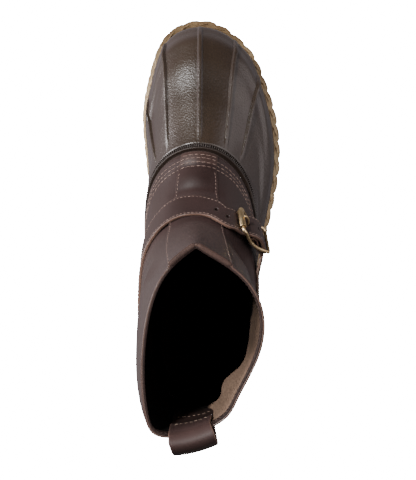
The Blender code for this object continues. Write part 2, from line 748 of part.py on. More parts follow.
def curve_through(points, count):
    """Smooth line through control rows, returned as evenly spaced rows."""
    pts = np.array(points, dtype=float)
    ends = np.concatenate([[2.0 * pts[0] - pts[1]], pts, [2.0 * pts[-1] - pts[-2]]])
    out = []
    for i in range(len(pts) - 1):
        a, b, c, d = ends[i:i + 4]
        for t in np.linspace(0.0, 1.0, 24, endpoint=False):
            out.append(0.5 * (2 * b + (c - a) * t + (2 * a - 5 * b + 4 * c - d) * t ** 2
                              + (3 * b - a - 3 * c + d) * t ** 3))
    out.append(pts[-1])
    out = np.array(out)
    dist = np.concatenate([[0.0], np.cumsum(np.linalg.norm(np.diff(out[:, :3], axis=0), axis=1))])
    at = np.linspace(0.0, dist[-1], count)
    return np.stack([np.interp(at, dist, out[:, k]) for k in range(out.shape[1])], axis=1), at


# Buckle frame: the roller bar's middle, the end bar's middle and the bars' direction,
# all in table steps. The frame stands off the outer side of the instep.
ROLLER_MID = np.array([30.7 * ACROSS, 145.0 * ALONG, 111.2 * UP])
END_MID = np.array([49.6 * ACROSS, 128.6 * ALONG, 89.0 * UP])
BAR_AXIS = np.array([0.14, -0.77, 0.62])
FRAME_HALF = 0.5 * STRAP_WIDTH + 0.4 + 0.5 * WIRE
BAR_RADIUS = 0.42 * WIRE
SAG = -2.8


def unit(v):
    v = np.asarray(v, dtype=float)
    return v / np.linalg.norm(v)


def buckle_axes():
    """Length, bar and outward directions of the buckle frame, square to each other."""
    d = unit(END_MID - ROLLER_MID)
    r = unit(BAR_AXIS - np.dot(BAR_AXIS, d) * d)
    n = unit(np.cross(r, d))
    if n[0] < 0.0:
        n = -n
    return d, r, n


FRAME_D, FRAME_R, FRAME_N = buckle_axes()
FRAME_LONG = float(np.linalg.norm(END_MID - ROLLER_MID))
BAR_AT = 0.5 * FRAME_LONG


def framed(x, y, h):
    """Point at x from the roller bar, y along the bars and h outward of the frame."""
    return ROLLER_MID + FRAME_D * x + FRAME_R * y + FRAME_N * h


def tube(name, points, radius, mat, cyclic=False, resolution=1):
    """Round wire through points, as a curve with a bevel turned into a mesh."""
    curve = bpy.data.curves.new(name, "CURVE")
    curve.dimensions = "3D"
    curve.bevel_depth = radius * MM
    curve.bevel_resolution = resolution
    curve.use_fill_caps = not cyclic
    curve.twist_mode = "MINIMUM"
    spline = curve.splines.new("POLY")
    spline.points.add(len(points) - 1)
    for target, p in zip(spline.points, place(np.array(points))):
        target.co = (*p, 1.0)
    spline.use_cyclic_u = cyclic
    ob = bpy.data.objects.new(name, curve)
    bpy.context.scene.collection.objects.link(ob)
    graph = bpy.context.evaluated_depsgraph_get()
    mesh = bpy.data.meshes.new_from_object(ob.evaluated_get(graph))
    bpy.data.objects.remove(ob)
    out = bpy.data.objects.new(name, mesh)
    bpy.context.scene.collection.objects.link(out)
    bm = bmesh.new()
    bm.from_mesh(mesh)
    bmesh.ops.remove_doubles(bm, verts=bm.verts, dist=0.00001)
    bmesh.ops.recalc_face_normals(bm, faces=bm.faces)
    bm.to_mesh(mesh)
    bm.free()
    for polygon in mesh.polygons:
        polygon.use_smooth = True
    mesh.set_sharp_from_angle(angle=math.radians(50.0))
    mesh.materials.clear()
    if mat is not None:
        mesh.materials.append(mat)
    return out


def build_frame(mat):
    """Four-sided brass wire frame, dished, with a middle bar for the short strap and prong."""
    side = []
    corner = 3.0
    for k in range(4):
        a = math.radians(30.0 * k)
        side.append((corner - corner * math.cos(a), FRAME_HALF - corner + corner * math.sin(a), 0.0))
    for t in np.linspace(0.0, 1.0, 9)[1:-1]:
        swell = math.sin(math.pi * t)
        x = corner + (FRAME_LONG - 2.0 * corner) * t
        side.append((x, FRAME_HALF + 1.0 * swell, SAG * swell))
    for k in range(4):
        a = math.radians(30.0 * k)
        x = FRAME_LONG - corner + corner * math.sin(a)
        side.append((x, FRAME_HALF - corner + corner * math.cos(a), 0.0))
    path = [framed(x, y, h) for x, y, h in side]
    path += [framed(x, -y, h) for x, y, h in reversed(side)]
    frame = tube("buckle_frame", path, 0.5 * WIRE, mat, cyclic=True)
    reach = FRAME_HALF + 1.0
    bar = tube("middle_bar", [framed(BAR_AT, -reach, SAG), framed(BAR_AT, reach, SAG)], BAR_RADIUS, None)
    boolean(frame, bar, "UNION")
    tidy(frame, 50.0)
    return frame


def build_roller(mat):
    """Brass sleeve that turns on the front bar of the frame."""
    half = FRAME_HALF - 3.6
    hole = 0.5 * WIRE + FIT_GAP
    outside = 0.5 * ROLLER_SIZE
    angles = np.arange(14) * 2.0 * math.pi / 14
    loops = []
    for y, radius in ((-half, outside), (half, outside), (half, hole), (-half, hole)):
        loops.append(np.array([framed(radius * math.cos(a), y, radius * math.sin(a)) for a in angles]))
    verts, faces = loft([place(x) for x in loops])
    return solid("buckle_roller", verts, faces, mat, 50.0)


def prong_path():
    """Middle line of the prong: hooked round the middle bar, up through the strap to the roller."""
    turn = BAR_RADIUS + FIT_GAP + 0.5 * PRONG_SIZE
    path = []
    for k in range(10):
        a = math.radians(-10.0 + 27.0 * k)
        path.append(framed(BAR_AT + turn * math.cos(a), 0.0, SAG + turn * math.sin(a)))
    low = SAG - 0.3
    rest = 0.5 * ROLLER_SIZE + 0.5 * PRONG_SIZE + 0.25
    for x, h in ((BAR_AT - turn - 1.2, low), (12.0, low + 0.1), (10.3, -2.2), (7.6, 1.3), (6.0, 2.6),
                 (3.0, rest - 0.2), (0.0, rest), (-2.0, rest - 0.2)):
        path.append(framed(x, 0.0, h))
    return path


def build_prong(mat):
    """Brass prong with its eye round the middle bar and its tip on the roller."""
    return tube("buckle_prong", prong_path(), 0.5 * PRONG_SIZE, mat)


# Middle line of the long strap on the boot, from its sewn end on the inner side.
LONG_TARGETS = (
    (-43.0, 66.0, 96.0), (-43.0, 82.0, 96.5), (-42.0, 100.0, 97.5), (-39.5, 120.0, 99.5),
    (-34.0, 136.0, 102.5), (-25.0, 146.5, 106.5), (-13.0, 153.0, 109.8), (0.0, 154.3, 111.0),
    (8.0, 153.6, 110.8),
)
# The same strap beyond the panel: distance past the roller and height of its outer face.
LONG_FREE = (
    (-9.5, -6.0), (-3.5, -3.2), (0.0, -2.9), (4.5, -2.2), (8.8, 0.4), (13.0, 2.6),
    (17.5, 3.6), (22.0, 2.9), (28.0, 0.1), (33.2, -1.9), (38.0, -2.6),
)
# Middle line of the short strap from its sewn end on the outer side.
SHORT_TARGETS = (
    (41.5, 68.0, 89.0), (41.5, 80.0, 87.5), (42.0, 92.0, 85.0), (42.5, 101.0, 83.5), (42.6, 106.0, 83.0),
)


def skin_frames(targets, count):
    """Middle line laid on the skin, its width directions and outward directions."""
    line, _ = curve_through([(u * ACROSS, s * ALONG, z * UP) for u, s, z in targets], count)
    centres = []
    outs = []
    for point in line:
        p, q = nearest(point[:3])
        n = free_normal(p, q)
        centres.append(skin_free(np.array([p]), q)[0] + n * (FIT_GAP + 0.15 + panel_lift(p, q)))
        outs.append(n)
    return np.array(centres), np.array(outs)


def strap_rows(centres, outs):
    """Width directions square to the strap's line, and outward directions square to both."""
    tangent = np.gradient(centres, axis=0)
    tangent /= np.linalg.norm(tangent, axis=1)[:, None]
    sides = np.cross(outs, tangent)
    sides /= np.linalg.norm(sides, axis=1)[:, None]
    return sides, np.cross(tangent, sides)


def strap_solid(centres, sides, outs, widths, laid, thick):
    """Strap whose first sections follow the skin across their width as well."""
    loops = []
    for k, (c, w, n, half) in enumerate(zip(centres, sides, outs, widths)):
        f = np.linspace(-1.0, 1.0, 5)
        low = c[None, :] + w[None, :] * (f * half)[:, None]
        fade = 1.0 - float(smooth((k - laid + 4.0) / 4.0))
        if fade > 0.0:
            fixed = []
            for point in low:
                p, q = nearest(point)
                m = free_normal(p, q)
                fixed.append(skin_free(np.array([p]), q)[0] + m * (FIT_GAP + 0.15 + panel_lift(p, q)))
            low = low + (np.array(fixed) - low) * fade
        high = low[::-1] + n[None, :] * thick
        loops.append(np.concatenate([low, high]))
    return loft([place(x) for x in loops], cap=True)


def build_long_strap(mat):
    """Instep strap laid over the shaft, standing free before the buckle, with five holes."""
    laid, laid_outs = skin_frames(LONG_TARGETS, 20)
    control = [laid[-2], laid[-1]] + [framed(x, 0.0, h - STRAP_THICK) for x, h in LONG_FREE]
    line, _ = curve_through(control, 26)
    start = int(np.argmin(np.linalg.norm(line - laid[-1], axis=1))) + 1
    rows = line[start:]
    blend = np.clip(np.linspace(0.1, 3.0, len(rows)), 0.0, 1.0)[:, None]
    free_outs = laid_outs[-1][None, :] * (1.0 - blend) + FRAME_N[None, :] * blend
    centres = np.concatenate([laid, rows])
    sides, outs = strap_rows(centres, np.concatenate([laid_outs, free_outs]))
    bars = np.clip((np.arange(len(centres)) - len(laid)) / 5.0, 0.0, 1.0)[:, None]
    flip = np.sign(np.sum(sides[-1] * FRAME_R))
    sides = sides * (1.0 - bars) + FRAME_R[None, :] * flip * bars
    sides /= np.linalg.norm(sides, axis=1)[:, None]
    tangent = np.gradient(centres, axis=0)
    outs = np.cross(tangent, sides)
    outs /= np.linalg.norm(outs, axis=1)[:, None]
    widths = np.full(len(centres), 0.5 * STRAP_WIDTH)
    widths[-1] *= 0.45
    widths[-2] *= 0.85
    verts, faces = strap_solid(centres, sides, outs, widths, len(laid), STRAP_THICK)
    strap = solid("strap_long", verts, faces, mat, 40.0)
    dist = np.concatenate([[0.0], np.cumsum(np.linalg.norm(np.diff(centres, axis=0), axis=1))])
    pierced = framed(8.8, 0.0, -STRAP_THICK)
    at = dist[int(np.argmin(np.linalg.norm(centres - pierced, axis=1)))]
    for k in (-3, -2, -1, 1):
        place_at = at + k * HOLE_PITCH
        c = np.array([np.interp(place_at, dist, centres[:, i]) for i in range(3)])
        n = unit(np.array([np.interp(place_at, dist, outs[:, i]) for i in range(3)]))
        punch = tube("punch", [c - n * 0.35, c + n * (STRAP_THICK + 3.0)], 0.5 * HOLE_SIZE, None)
        boolean(strap, punch, "DIFFERENCE")
    way = tube("way", prong_path()[10:16], 0.5 * PRONG_SIZE + 0.4, None)
    boolean(strap, way, "DIFFERENCE")
    tidy(strap, 40.0)
    strap.data.materials.clear()
    strap.data.materials.append(mat)
    return strap


def build_short_strap(mat):
    """Short strap from the outer side of the shaft, folded round the middle bar."""
    laid, laid_outs = skin_frames(SHORT_TARGETS, 9)
    wrap = BAR_RADIUS + 0.25 + SHORT_THICK
    under = SAG - wrap
    lead = [np.array([44.0 * ACROSS, 113.5 * ALONG, 83.0 * UP]),
            framed(FRAME_LONG + 4.0, 0.0, -8.2), framed(FRAME_LONG - 3.0, 0.0, -7.0),
            framed(BAR_AT + 7.0, 0.0, under - 0.2), framed(BAR_AT + 2.0, 0.0, under)]
    line, _ = curve_through([laid[-2], laid[-1]] + lead, 13)
    start = int(np.argmin(np.linalg.norm(line - laid[-1], axis=1))) + 1
    rows = [p for p in line[start:]]
    first = laid_outs[-1]
    count = len(rows)
    outs = [unit(first * (1.0 - t) + FRAME_N * t) for t in smooth(np.linspace(0.1, 1.2, count))]
    for k in range(7):
        a = math.radians(30.0 * k)
        aim = -FRAME_N * math.cos(a) - FRAME_D * math.sin(a)
        rows.append(framed(BAR_AT, 0.0, SAG) + aim * wrap)
        outs.append(-aim)
    for x, h in ((2.5, wrap - 0.25), (5.0, wrap - 1.4), (7.5, wrap - 2.6)):
        rows.append(framed(BAR_AT + x, 0.0, SAG + h))
        outs.append(-FRAME_N)
    centres = np.concatenate([laid, np.array(rows)])
    given = np.concatenate([laid_outs, np.array(outs)])
    sides, square = strap_rows(centres, given)
    bars = np.clip((np.arange(len(centres)) - len(laid)) / float(count), 0.0, 1.0)[:, None]
    flip = np.sign(np.sum(sides[len(laid) + count - 2] * FRAME_R))
    sides = sides * (1.0 - bars) + FRAME_R[None, :] * flip * bars
    sides /= np.linalg.norm(sides, axis=1)[:, None]
    fold = np.arange(len(centres)) >= len(laid) + count
    square[fold] = given[fold]
    widths = np.full(len(centres), 0.5 * STRAP_WIDTH - 1.0)
    verts, faces = strap_solid(centres, sides, square, widths, len(laid), SHORT_THICK)
    strap = solid("strap_short", verts, faces, mat, 40.0)
    room = 0.5 * PRONG_SIZE + 0.7
    corners = []
    for h in (SAG - wrap - 2.0, SAG + wrap + 2.0):
        for x, y in ((-6.0, -room), (4.6, -room), (4.6, room), (-6.0, room)):
            corners.append(framed(BAR_AT + x, y, h))
    verts, faces = loft([place(np.array(corners[:4])), place(np.array(corners[4:]))], cap=True)
    boolean(strap, solid("slot", verts, faces, None), "DIFFERENCE")
    tidy(strap, 40.0)
    strap.data.materials.clear()
    strap.data.materials.append(mat)
    return strap


# The loop's middle across the boot, and the plan direction in which it hangs out.
LOOP_MID = -4.5
LOOP_LEAN = (0.30, -0.95, 0.0)


def build_loop(mat):
    """Leather loop folded over the back of the collar, with a leg on each side of the wall.
    Its side view gives distance outward from the shaft and height above the collar,
    along the middle of the leather, from the inside leg to the outside one."""
    inside = -(LEATHER_WALL + FACING_STEP + FIT_GAP + 0.5 * LOOP_THICK)
    outside = FIT_GAP + 0.5 * LOOP_THICK
    side_view = (
        (inside, -24.0), (inside, -14.0), (inside, -5.0), (inside + 0.1, 2.0), (inside + 1.2, 8.0),
        (inside + 4.4, LOOP_RISE - 0.8), (outside + 2.6, LOOP_RISE), (outside + 6.4, LOOP_RISE - 3.0),
        (LOOP_BULGE - 0.3, 4.0), (LOOP_BULGE, -1.5), (LOOP_BULGE - 2.4, -7.5), (outside + 3.2, -13.0),
        (outside + 0.4, -19.0), (outside, -27.0),
    )
    line, _ = curve_through([(v, h, 0.0) for v, h in side_view], 22)
    middle = level_back(LOOP_MID)
    reach = 0.5 * LOOP_WIDTH / ring(1.0)[2]
    shares = middle + np.linspace(-reach, reach, 5)
    span = COLLAR_HEIGHT * (1.0 - 179.0 / 208.0)
    sections = []
    slope = np.gradient(line[:, :2], axis=0)
    slope /= np.linalg.norm(slope, axis=1)[:, None]
    lean = unit(LOOP_LEAN)
    for (v, h, _), (dv, dh) in zip(line, slope):
        q = 1.0 + min(h, 0.0) / span * (1.0 - RING_Q["upper_shaft"])
        base = skin(shares, q)
        out = normals(shares, q)
        out[:, 2] = 0.0
        out /= np.linalg.norm(out, axis=1)[:, None]
        near = min(max(v, inside), outside)
        loose = np.clip((v - near) / 3.0, 0.0, 1.0)
        aim = out * (1.0 - loose) + lean * loose
        aim /= np.linalg.norm(aim, axis=1)[:, None]
        centre = base + out * near + lean * (v - near)
        centre[:, 2] = base[:, 2] + max(h, 0.0)
        across = (aim * dh - np.array([0.0, 0.0, 1.0]) * dv) * 0.5 * LOOP_THICK
        sections.append(np.concatenate([centre + across, (centre - across)[::-1]]))
    verts, faces = loft([place(x) for x in sections], cap=True)
    return solid("pull_loop", verts, faces, mat, 50.0)


def level_back(width):
    """Share of the collar ring at its back where its distance from the middle line is width."""
    share, points, _ = ring(1.0)
    low = int(DENSE * 0.42)
    high = int(DENSE * 0.58)
    return float(np.interp(-width * ACROSS, -points[low:high, 0], share[low:high]))


def main():
    for ob in list(bpy.data.objects):
        bpy.data.objects.remove(ob)
    gum = material("gum_rubber", (0.42, 0.25, 0.10), 0.55)
    brown = material("brown_rubber", (0.055, 0.036, 0.028), 0.42)
    leather = material("brown_leather", (0.062, 0.034, 0.029), 0.45)
    board = material("insole_board", (0.20, 0.13, 0.09), 0.8)
    brass = material("antique_brass", (0.55, 0.40, 0.20), 0.32, 1.0)
    made = [build_outsole(gum), build_rubber(brown), build_leather(leather), build_insole(board)]
    made += [build_long_strap(leather), build_short_strap(leather), build_loop(leather)]
    made += [build_frame(brass), build_roller(brass), build_prong(brass)]
    home = bpy.data.collections.new(NAME)
    bpy.context.scene.collection.children.link(home)
    for ob in made:
        for c in list(ob.users_collection):
            c.objects.unlink(ob)
        home.objects.link(ob)


main()
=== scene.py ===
import math

import bmesh
import bpy
import numpy as np
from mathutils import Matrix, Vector


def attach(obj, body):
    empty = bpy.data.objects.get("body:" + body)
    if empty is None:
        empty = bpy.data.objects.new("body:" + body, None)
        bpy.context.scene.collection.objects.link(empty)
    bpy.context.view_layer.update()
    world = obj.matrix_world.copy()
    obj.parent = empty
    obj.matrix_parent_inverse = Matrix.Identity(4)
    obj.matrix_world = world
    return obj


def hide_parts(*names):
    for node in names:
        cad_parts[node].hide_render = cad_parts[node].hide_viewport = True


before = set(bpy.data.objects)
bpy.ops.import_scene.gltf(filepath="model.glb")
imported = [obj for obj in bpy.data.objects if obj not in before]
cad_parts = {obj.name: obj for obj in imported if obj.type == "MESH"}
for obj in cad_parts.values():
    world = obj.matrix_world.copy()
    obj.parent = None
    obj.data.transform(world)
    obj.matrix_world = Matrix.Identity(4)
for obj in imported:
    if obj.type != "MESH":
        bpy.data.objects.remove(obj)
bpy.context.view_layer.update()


# Rubber bottom. The real one is a single shell of brown rubber, moulded on a last
# with five ribs over the toes, and cemented to the gum sole. It carries the leather
# on a thin flange inside its top edge.

# Plan widths, plan ends and heights of each ring of the boot's skin, in millimetres.
RING_ANGLES = (20, 45, 75, 105, 135, 160)
RING_COLUMNS = (
    "back", "front", "mid_back", "mid_front", "slant",
    "l20", "l45", "l75", "l105", "l135", "l160",
    "m20", "m45", "m75", "m105", "m135", "m160",
    "follow", "z_back", "z_side", "z_front", "reach",
)
RINGS = (
    ("feather", 7.0, 292.5, 2.0, 0.5, 0.0, 23.5, 45.0, 55.5, 41.0, 36.5, 24.5,
     21.5, 35.0, 36.8, 29.5, 32.0, 20.5, 1.0, 0.45, 0.45, 0.45, 40.0),
    ("bulge", 4.0, 293.5, 2.0, 0.5, 0.0, 24.5, 46.2, 57.0, 43.5, 39.0, 26.5,
     22.5, 36.2, 38.7, 33.0, 35.0, 22.0, 1.0, 11.0, 12.0, 10.0, 40.0),
    ("knuckle", 3.0, 287.5, 2.0, 0.5, 0.0, 24.5, 45.3, 54.8, 43.5, 39.0, 25.5,
     22.5, 35.3, 38.5, 36.5, 36.2, 21.5, 0.6, 31.0, 29.5, 30.5, 60.0),
    ("toe_top", 4.0, 268.0, 2.0, 0.5, 0.0, 23.5, 42.5, 49.5, 42.5, 38.5, 25.0,
     21.5, 34.0, 38.5, 37.5, 36.2, 21.5, 0.3, 46.0, 41.0, 51.0, 75.0),
    ("vamp", 5.5, 240.0, 2.0, 0.3, 0.0, 22.0, 40.0, 44.8, 41.3, 38.0, 24.5,
     20.5, 34.5, 39.0, 38.0, 36.2, 21.5, 0.0, 58.0, 50.0, 65.5, 70.0),
    ("bead", 6.5, 201.4, 2.0, 0.0, 0.0, 20.5, 38.3, 43.3, 40.3, 37.0, 23.5,
     21.0, 37.3, 40.0, 38.5, 36.0, 21.5, 0.0, 63.0, 57.0, 81.0, 46.0),
    ("leather_edge", 7.0, 195.2, 2.0, -0.5, 0.0, 18.5, 36.0, 42.6, 40.2, 36.5, 23.0,
     20.7, 36.8, 40.0, 38.6, 36.2, 21.3, 0.0, 69.0, 62.5, 84.5, 46.0),
    ("instep_low", 8.5, 180.0, 1.5, -0.5, 0.0, 18.5, 35.5, 42.5, 40.3, 35.5, 22.5,
     20.0, 36.5, 40.5, 39.5, 36.7, 21.3, 0.0, 78.0, 71.5, 91.5, 46.0),
    ("strap_low", 9.8, 161.7, 1.0, -1.0, 0.0, 17.5, 33.4, 41.6, 40.0, 34.2, 21.3,
     18.5, 35.0, 40.6, 39.6, 36.6, 22.0, 0.0, 92.0, 87.0, 104.0, 48.0),
    ("strap_high", 9.8, 146.4, 0.0, -1.0, 0.05, 15.5, 32.0, 41.2, 39.6, 33.5, 20.5,
     16.5, 34.5, 41.2, 41.6, 38.8, 24.5, 0.0, 110.0, 106.0, 117.5, 52.0),
    ("ankle", 9.0, 138.0, -1.0, -1.0, 0.1, 13.5, 31.5, 39.4, 37.2, 30.9, 18.6,
     14.5, 33.0, 41.8, 43.9, 41.4, 26.9, 0.0, 127.0, 126.0, 131.0, 55.0),
    ("shaft", 6.5, 132.3, -2.5, -1.0, 0.16, 10.5, 30.2, 39.9, 37.2, 27.8, 16.5,
     12.0, 30.0, 40.3, 43.4, 40.6, 27.5, 0.0, 150.0, 150.0, 151.0, 55.0),
    ("upper_shaft", 4.5, 129.2, -3.8, -1.0, 0.21, 8.0, 28.4, 41.6, 39.2, 27.4, 16.0,
     9.7, 26.0, 37.4, 40.8, 38.4, 26.8, 0.0, 179.0, 179.0, 179.0, 55.0),
    ("collar", 2.5, 127.0, -5.0, -1.0, 0.25, 5.8, 27.2, 42.8, 40.2, 26.8, 15.8,
     7.7, 22.8, 34.4, 37.7, 35.0, 25.6, 0.0, 208.0, 208.0, 208.0, 55.0),
)
SOLE_ROW = (0.0, 300.0, 2.0, 1.0, 0.0, 25.0, 50.2, 62.6, 47.8, 42.5, 26.5,
            23.8, 39.2, 41.4, 33.8, 37.0, 22.5, 1.0, 0.0, 0.0, 0.0, 40.0)
# Plan lines of the four side ribs, from the rubber's top edge to the toe. The fifth rib
# runs down the middle, along the skin's first column.
RIBS = (
    ("inner_out", 19.8, 198.5, 27.5, 283.0),
    ("outer_out", 30.8, 186.7, 46.5, 262.0),
    ("inner_in", -23.7, 196.3, -26.6, 283.0),
    ("outer_in", -32.5, 185.2, -41.0, 250.0),
)
RIB_RISE = 2.3
RIB_HALF = 2.0
# Columns are close together up to RIB_ZONE from a rib, ribs stay RIB_APART such zones apart,
# and RIB_FILLS are the numbers of columns in the five spaces between them.
RIB_ZONE = 3.2
RIB_APART = 2.2
RIB_FILLS = (22, 20, 170, 20, 22)
RIDGE_RISE = 1.3
PANEL_HOLLOW = 0.55
RUBBER_WALL = 2.5
RUBBER_ROWS = 104
LEATHER_WALL = 2.0
FIT_GAP = 0.3
SEAT_HEEL = 27.0
SEAT_DROP = 12.0
TOE_SPRING = 9.0
HEEL_BACK = 40.0
# The rubber's top edge, the knurled band's groove and then the lip: share of the edge's
# height, and rise.
EDGE_PROFILE = (
    (0.03, -0.4), (0.06, -0.4), (0.12, -0.4), (0.3, -0.35), (0.44, -0.4), (0.48, -0.4), (0.50, -0.2),
    (0.52, 0.5), (0.56, 1.0), (0.62, 1.15), (0.68, 1.0), (0.72, 0.5), (0.74, -0.4),
)


def smooth(x):
    """Eases from 0 at x = 0 to 1 at x = 1."""
    x = np.clip(x, 0.0, 1.0)
    return x * x * (3.0 - 2.0 * x)


def seat(s):
    """Height of the sole's top edge, s millimetres from the back of the heel."""
    fall = SEAT_HEEL - SEAT_DROP * smooth((s - 62.0) / 100.0)
    return fall + TOE_SPRING * np.clip((s - 222.0) / 78.0, 0.0, 1.0) ** 1.8


def units(rows):
    """The same directions with length one."""
    return rows / np.linalg.norm(rows, axis=1)[:, None]


def running(points):
    """Length along a line of points, from 0 at the first."""
    return np.concatenate([[0.0], np.cumsum(np.linalg.norm(np.diff(points, axis=0), axis=1))])


def ring_weights(count):
    """Weights that turn the named widths of a ring into one smooth closed curve."""
    knots = [0.0] + [math.radians(a) for a in RING_ANGLES] + [math.pi]
    knots = knots + [2.0 * math.pi - math.radians(a) for a in reversed(RING_ANGLES)]
    n = len(knots)
    knots.append(2.0 * math.pi)
    h = np.diff(np.array(knots))
    system = np.zeros((n, n))
    right = np.zeros((n, n))
    for i in range(n):
        system[i, i - 1] += h[i - 1]
        system[i, i] += 2.0 * (h[i - 1] + h[i])
        system[i, (i + 1) % n] += h[i]
        right[i, (i + 1) % n] += 6.0 / h[i]
        right[i, i] -= 6.0 / h[i] + 6.0 / h[i - 1]
        right[i, i - 1] += 6.0 / h[i - 1]
    second = np.linalg.solve(system, right)
    theta = np.linspace(0.0, 2.0 * math.pi, count + 1)
    out = np.zeros((count + 1, n))
    for k, value in enumerate(theta):
        i = min(int(np.searchsorted(knots, value, side="right")) - 1, n - 1)
        a = (knots[i + 1] - value) / h[i]
        b = (value - knots[i]) / h[i]
        out[k, i] += a
        out[k, (i + 1) % n] += b
        out[k] += ((a ** 3 - a) * second[i] + (b ** 3 - b) * second[(i + 1) % n]) * h[i] ** 2 / 6.0
    return theta, out


ROUND = 1440
THETA, WEIGHTS = ring_weights(ROUND)
TABLE = np.array([row[1:] for row in RINGS])
AT = {name: k for k, name in enumerate(RING_COLUMNS)}
steps = [0.0]
for low_row, high_row in zip(TABLE[:-1], TABLE[1:]):
    rise = math.hypot(high_row[AT["front"]] - low_row[AT["front"]],
                      high_row[AT["z_front"]] - low_row[AT["z_front"]])
    steps.append(steps[-1] + 0.5 * (rise + abs(high_row[AT["z_side"]] - low_row[AT["z_side"]])))
KNOTS = np.array(steps) / steps[-1]
Q = {row[0]: float(k) for row, k in zip(RINGS, KNOTS)}


def row_at(q):
    """The skin's ring at any height q, from 0 at the sole to 1 at the collar."""
    q = min(max(q, 0.0), 1.0)
    i = min(int(np.searchsorted(KNOTS, q, side="right")) - 1, len(KNOTS) - 2)
    h = KNOTS[i + 1] - KNOTS[i]
    t = (q - KNOTS[i]) / h
    step = (TABLE[i + 1] - TABLE[i]) / h
    slope_a = step
    slope_b = step
    if i > 0:
        g = KNOTS[i] - KNOTS[i - 1]
        slope_a = ((TABLE[i] - TABLE[i - 1]) / g * h + step * g) / (h + g)
    if i < len(KNOTS) - 2:
        g = KNOTS[i + 2] - KNOTS[i + 1]
        slope_b = (step * g + (TABLE[i + 2] - TABLE[i + 1]) / g * h) / (h + g)
    return ((2 * t ** 3 - 3 * t * t + 1) * TABLE[i] + (t ** 3 - 2 * t * t + t) * h * slope_a
            + (3 * t * t - 2 * t ** 3) * TABLE[i + 1] + (t ** 3 - t * t) * h * slope_b)


def ring_points(row):
    """Closed ring as points, with each point's share of the way round from the toe."""
    v = dict(zip(RING_COLUMNS, row))
    widths = [v["mid_front"]] + [v["l%d" % a] for a in RING_ANGLES] + [v["mid_back"]]
    u = WEIGHTS @ np.array(widths + [-v["m%d" % a] for a in reversed(RING_ANGLES)])
    # The sole's edge is tucked in at the big toe and swells at the little toe.
    big_toe = np.exp(-((THETA - math.radians(302.0)) / 0.2) ** 2)
    little_toe = np.exp(-((THETA - math.radians(33.0)) / 0.16) ** 2)
    u = u + v["follow"] * (2.2 * little_toe - 2.3 * big_toe)
    t = 0.5 * (1.0 + np.cos(THETA))
    s = v["back"] + (v["front"] - v["back"]) * t + v["slant"] * (u - v["mid_back"]) * (1.0 - t) ** 1.5
    front = np.clip((v["front"] - s) / v["reach"], 0.0, 1.0)
    back = np.clip((s - v["back"]) / 95.0, 0.0, 1.0)
    z = v["z_side"] + (v["z_front"] - v["z_side"]) * (1.0 - front) ** 2
    z = z + (v["z_back"] - v["z_side"]) * (1.0 - back) ** 2 + v["follow"] * seat(s)
    points = np.stack([u, s, z], axis=1)
    length = running(points)
    half = ROUND // 2
    share = 0.5 * length / length[half]
    share[half:] = 0.5 + 0.5 * (length[half:] - length[half]) / (length[-1] - length[half])
    return share, points, length[-1]


RING_STORE = {}


def ring(q):
    """Shares, points and length of ring q, worked out once."""
    key = round(float(q), 6)
    if key not in RING_STORE:
        RING_STORE[key] = ring_points(row_at(key))
    return RING_STORE[key]


def skin(p, q):
    """Skin points at shares p of ring q."""
    share, points, _ = ring(q)
    return np.stack([np.interp(np.mod(p, 1.0), share, points[:, k]) for k in range(3)], axis=1)


def normals(p, q):
    """Outward directions of the skin at shares p of ring q."""
    p = np.atleast_1d(p)
    up = skin(p, min(q + 0.004, 1.0)) - skin(p, max(q - 0.004, 0.0))
    n = units(np.cross(up, skin(p + 0.004, q) - skin(p - 0.004, q)))
    out = skin(p, q) - np.array([0.0, 90.0, 0.0])
    return -n if np.mean(n[:, 0] * out[:, 0] + n[:, 1] * out[:, 1]) < 0.0 else n


def place(points):
    """Skin millimetres to the model's metres: toe towards -Y, outer side towards -X."""
    p = np.atleast_2d(points)
    return np.stack([-p[:, 0], HEEL_BACK - p[:, 1], p[:, 2]], axis=1) * 0.001


def crossing(q, line, outer):
    """Share of ring q where a rib's plan line crosses it."""
    share, points, _ = ring(q)
    side = (points[:, 0] - line[0]) * (line[3] - line[1])
    side = side - (points[:, 1] - line[1]) * (line[2] - line[0])
    window = share < 0.25 if outer else share > 0.75
    hits = np.nonzero(window[:-1] & window[1:] & (side[:-1] * side[1:] <= 0.0))[0]
    if len(hits) == 0:
        return 0.1 if outer else 0.9
    i = hits[0] if outer else hits[-1]
    return share[i] + side[i] / (side[i] - side[i + 1]) * (share[i + 1] - share[i])


def crease(points, outs, folds):
    """Moves skin points in or out along soft lines: depth, width, then the line's points."""
    move = np.zeros(len(points))
    for _, depth, width, *line in folds:
        line = np.array(line, dtype=float)
        best = np.full(len(points), 1e9)
        along = np.zeros(len(points))
        for k, (a, b) in enumerate(zip(line[:-1], line[1:])):
            d = b - a
            t = np.clip((points - a) @ d / (d @ d), 0.0, 1.0)
            gap = np.linalg.norm(points - a - t[:, None] * d, axis=1)
            near = gap < best
            best[near] = gap[near]
            along[near] = (k + t[near]) / (len(line) - 1)
        fade = np.sin(math.pi * np.clip(along, 0.0, 1.0)) ** 0.6
        move += depth * fade * np.exp(-(best / width) ** 2)
    return points + outs * move[:, None]


def add(name, data):
    """New object in the scene over mesh, light or camera data."""
    ob = bpy.data.objects.new(name, data)
    bpy.context.scene.collection.objects.link(ob)
    return ob


def face_outward(mesh, merge=0.0):
    """Turns all faces outward, after joining points closer than merge."""
    bm = bmesh.new()
    bm.from_mesh(mesh)
    if merge > 0.0:
        bmesh.ops.remove_doubles(bm, verts=bm.verts, dist=merge)
    bmesh.ops.recalc_face_normals(bm, faces=bm.faces)
    bm.to_mesh(mesh)
    bm.free()


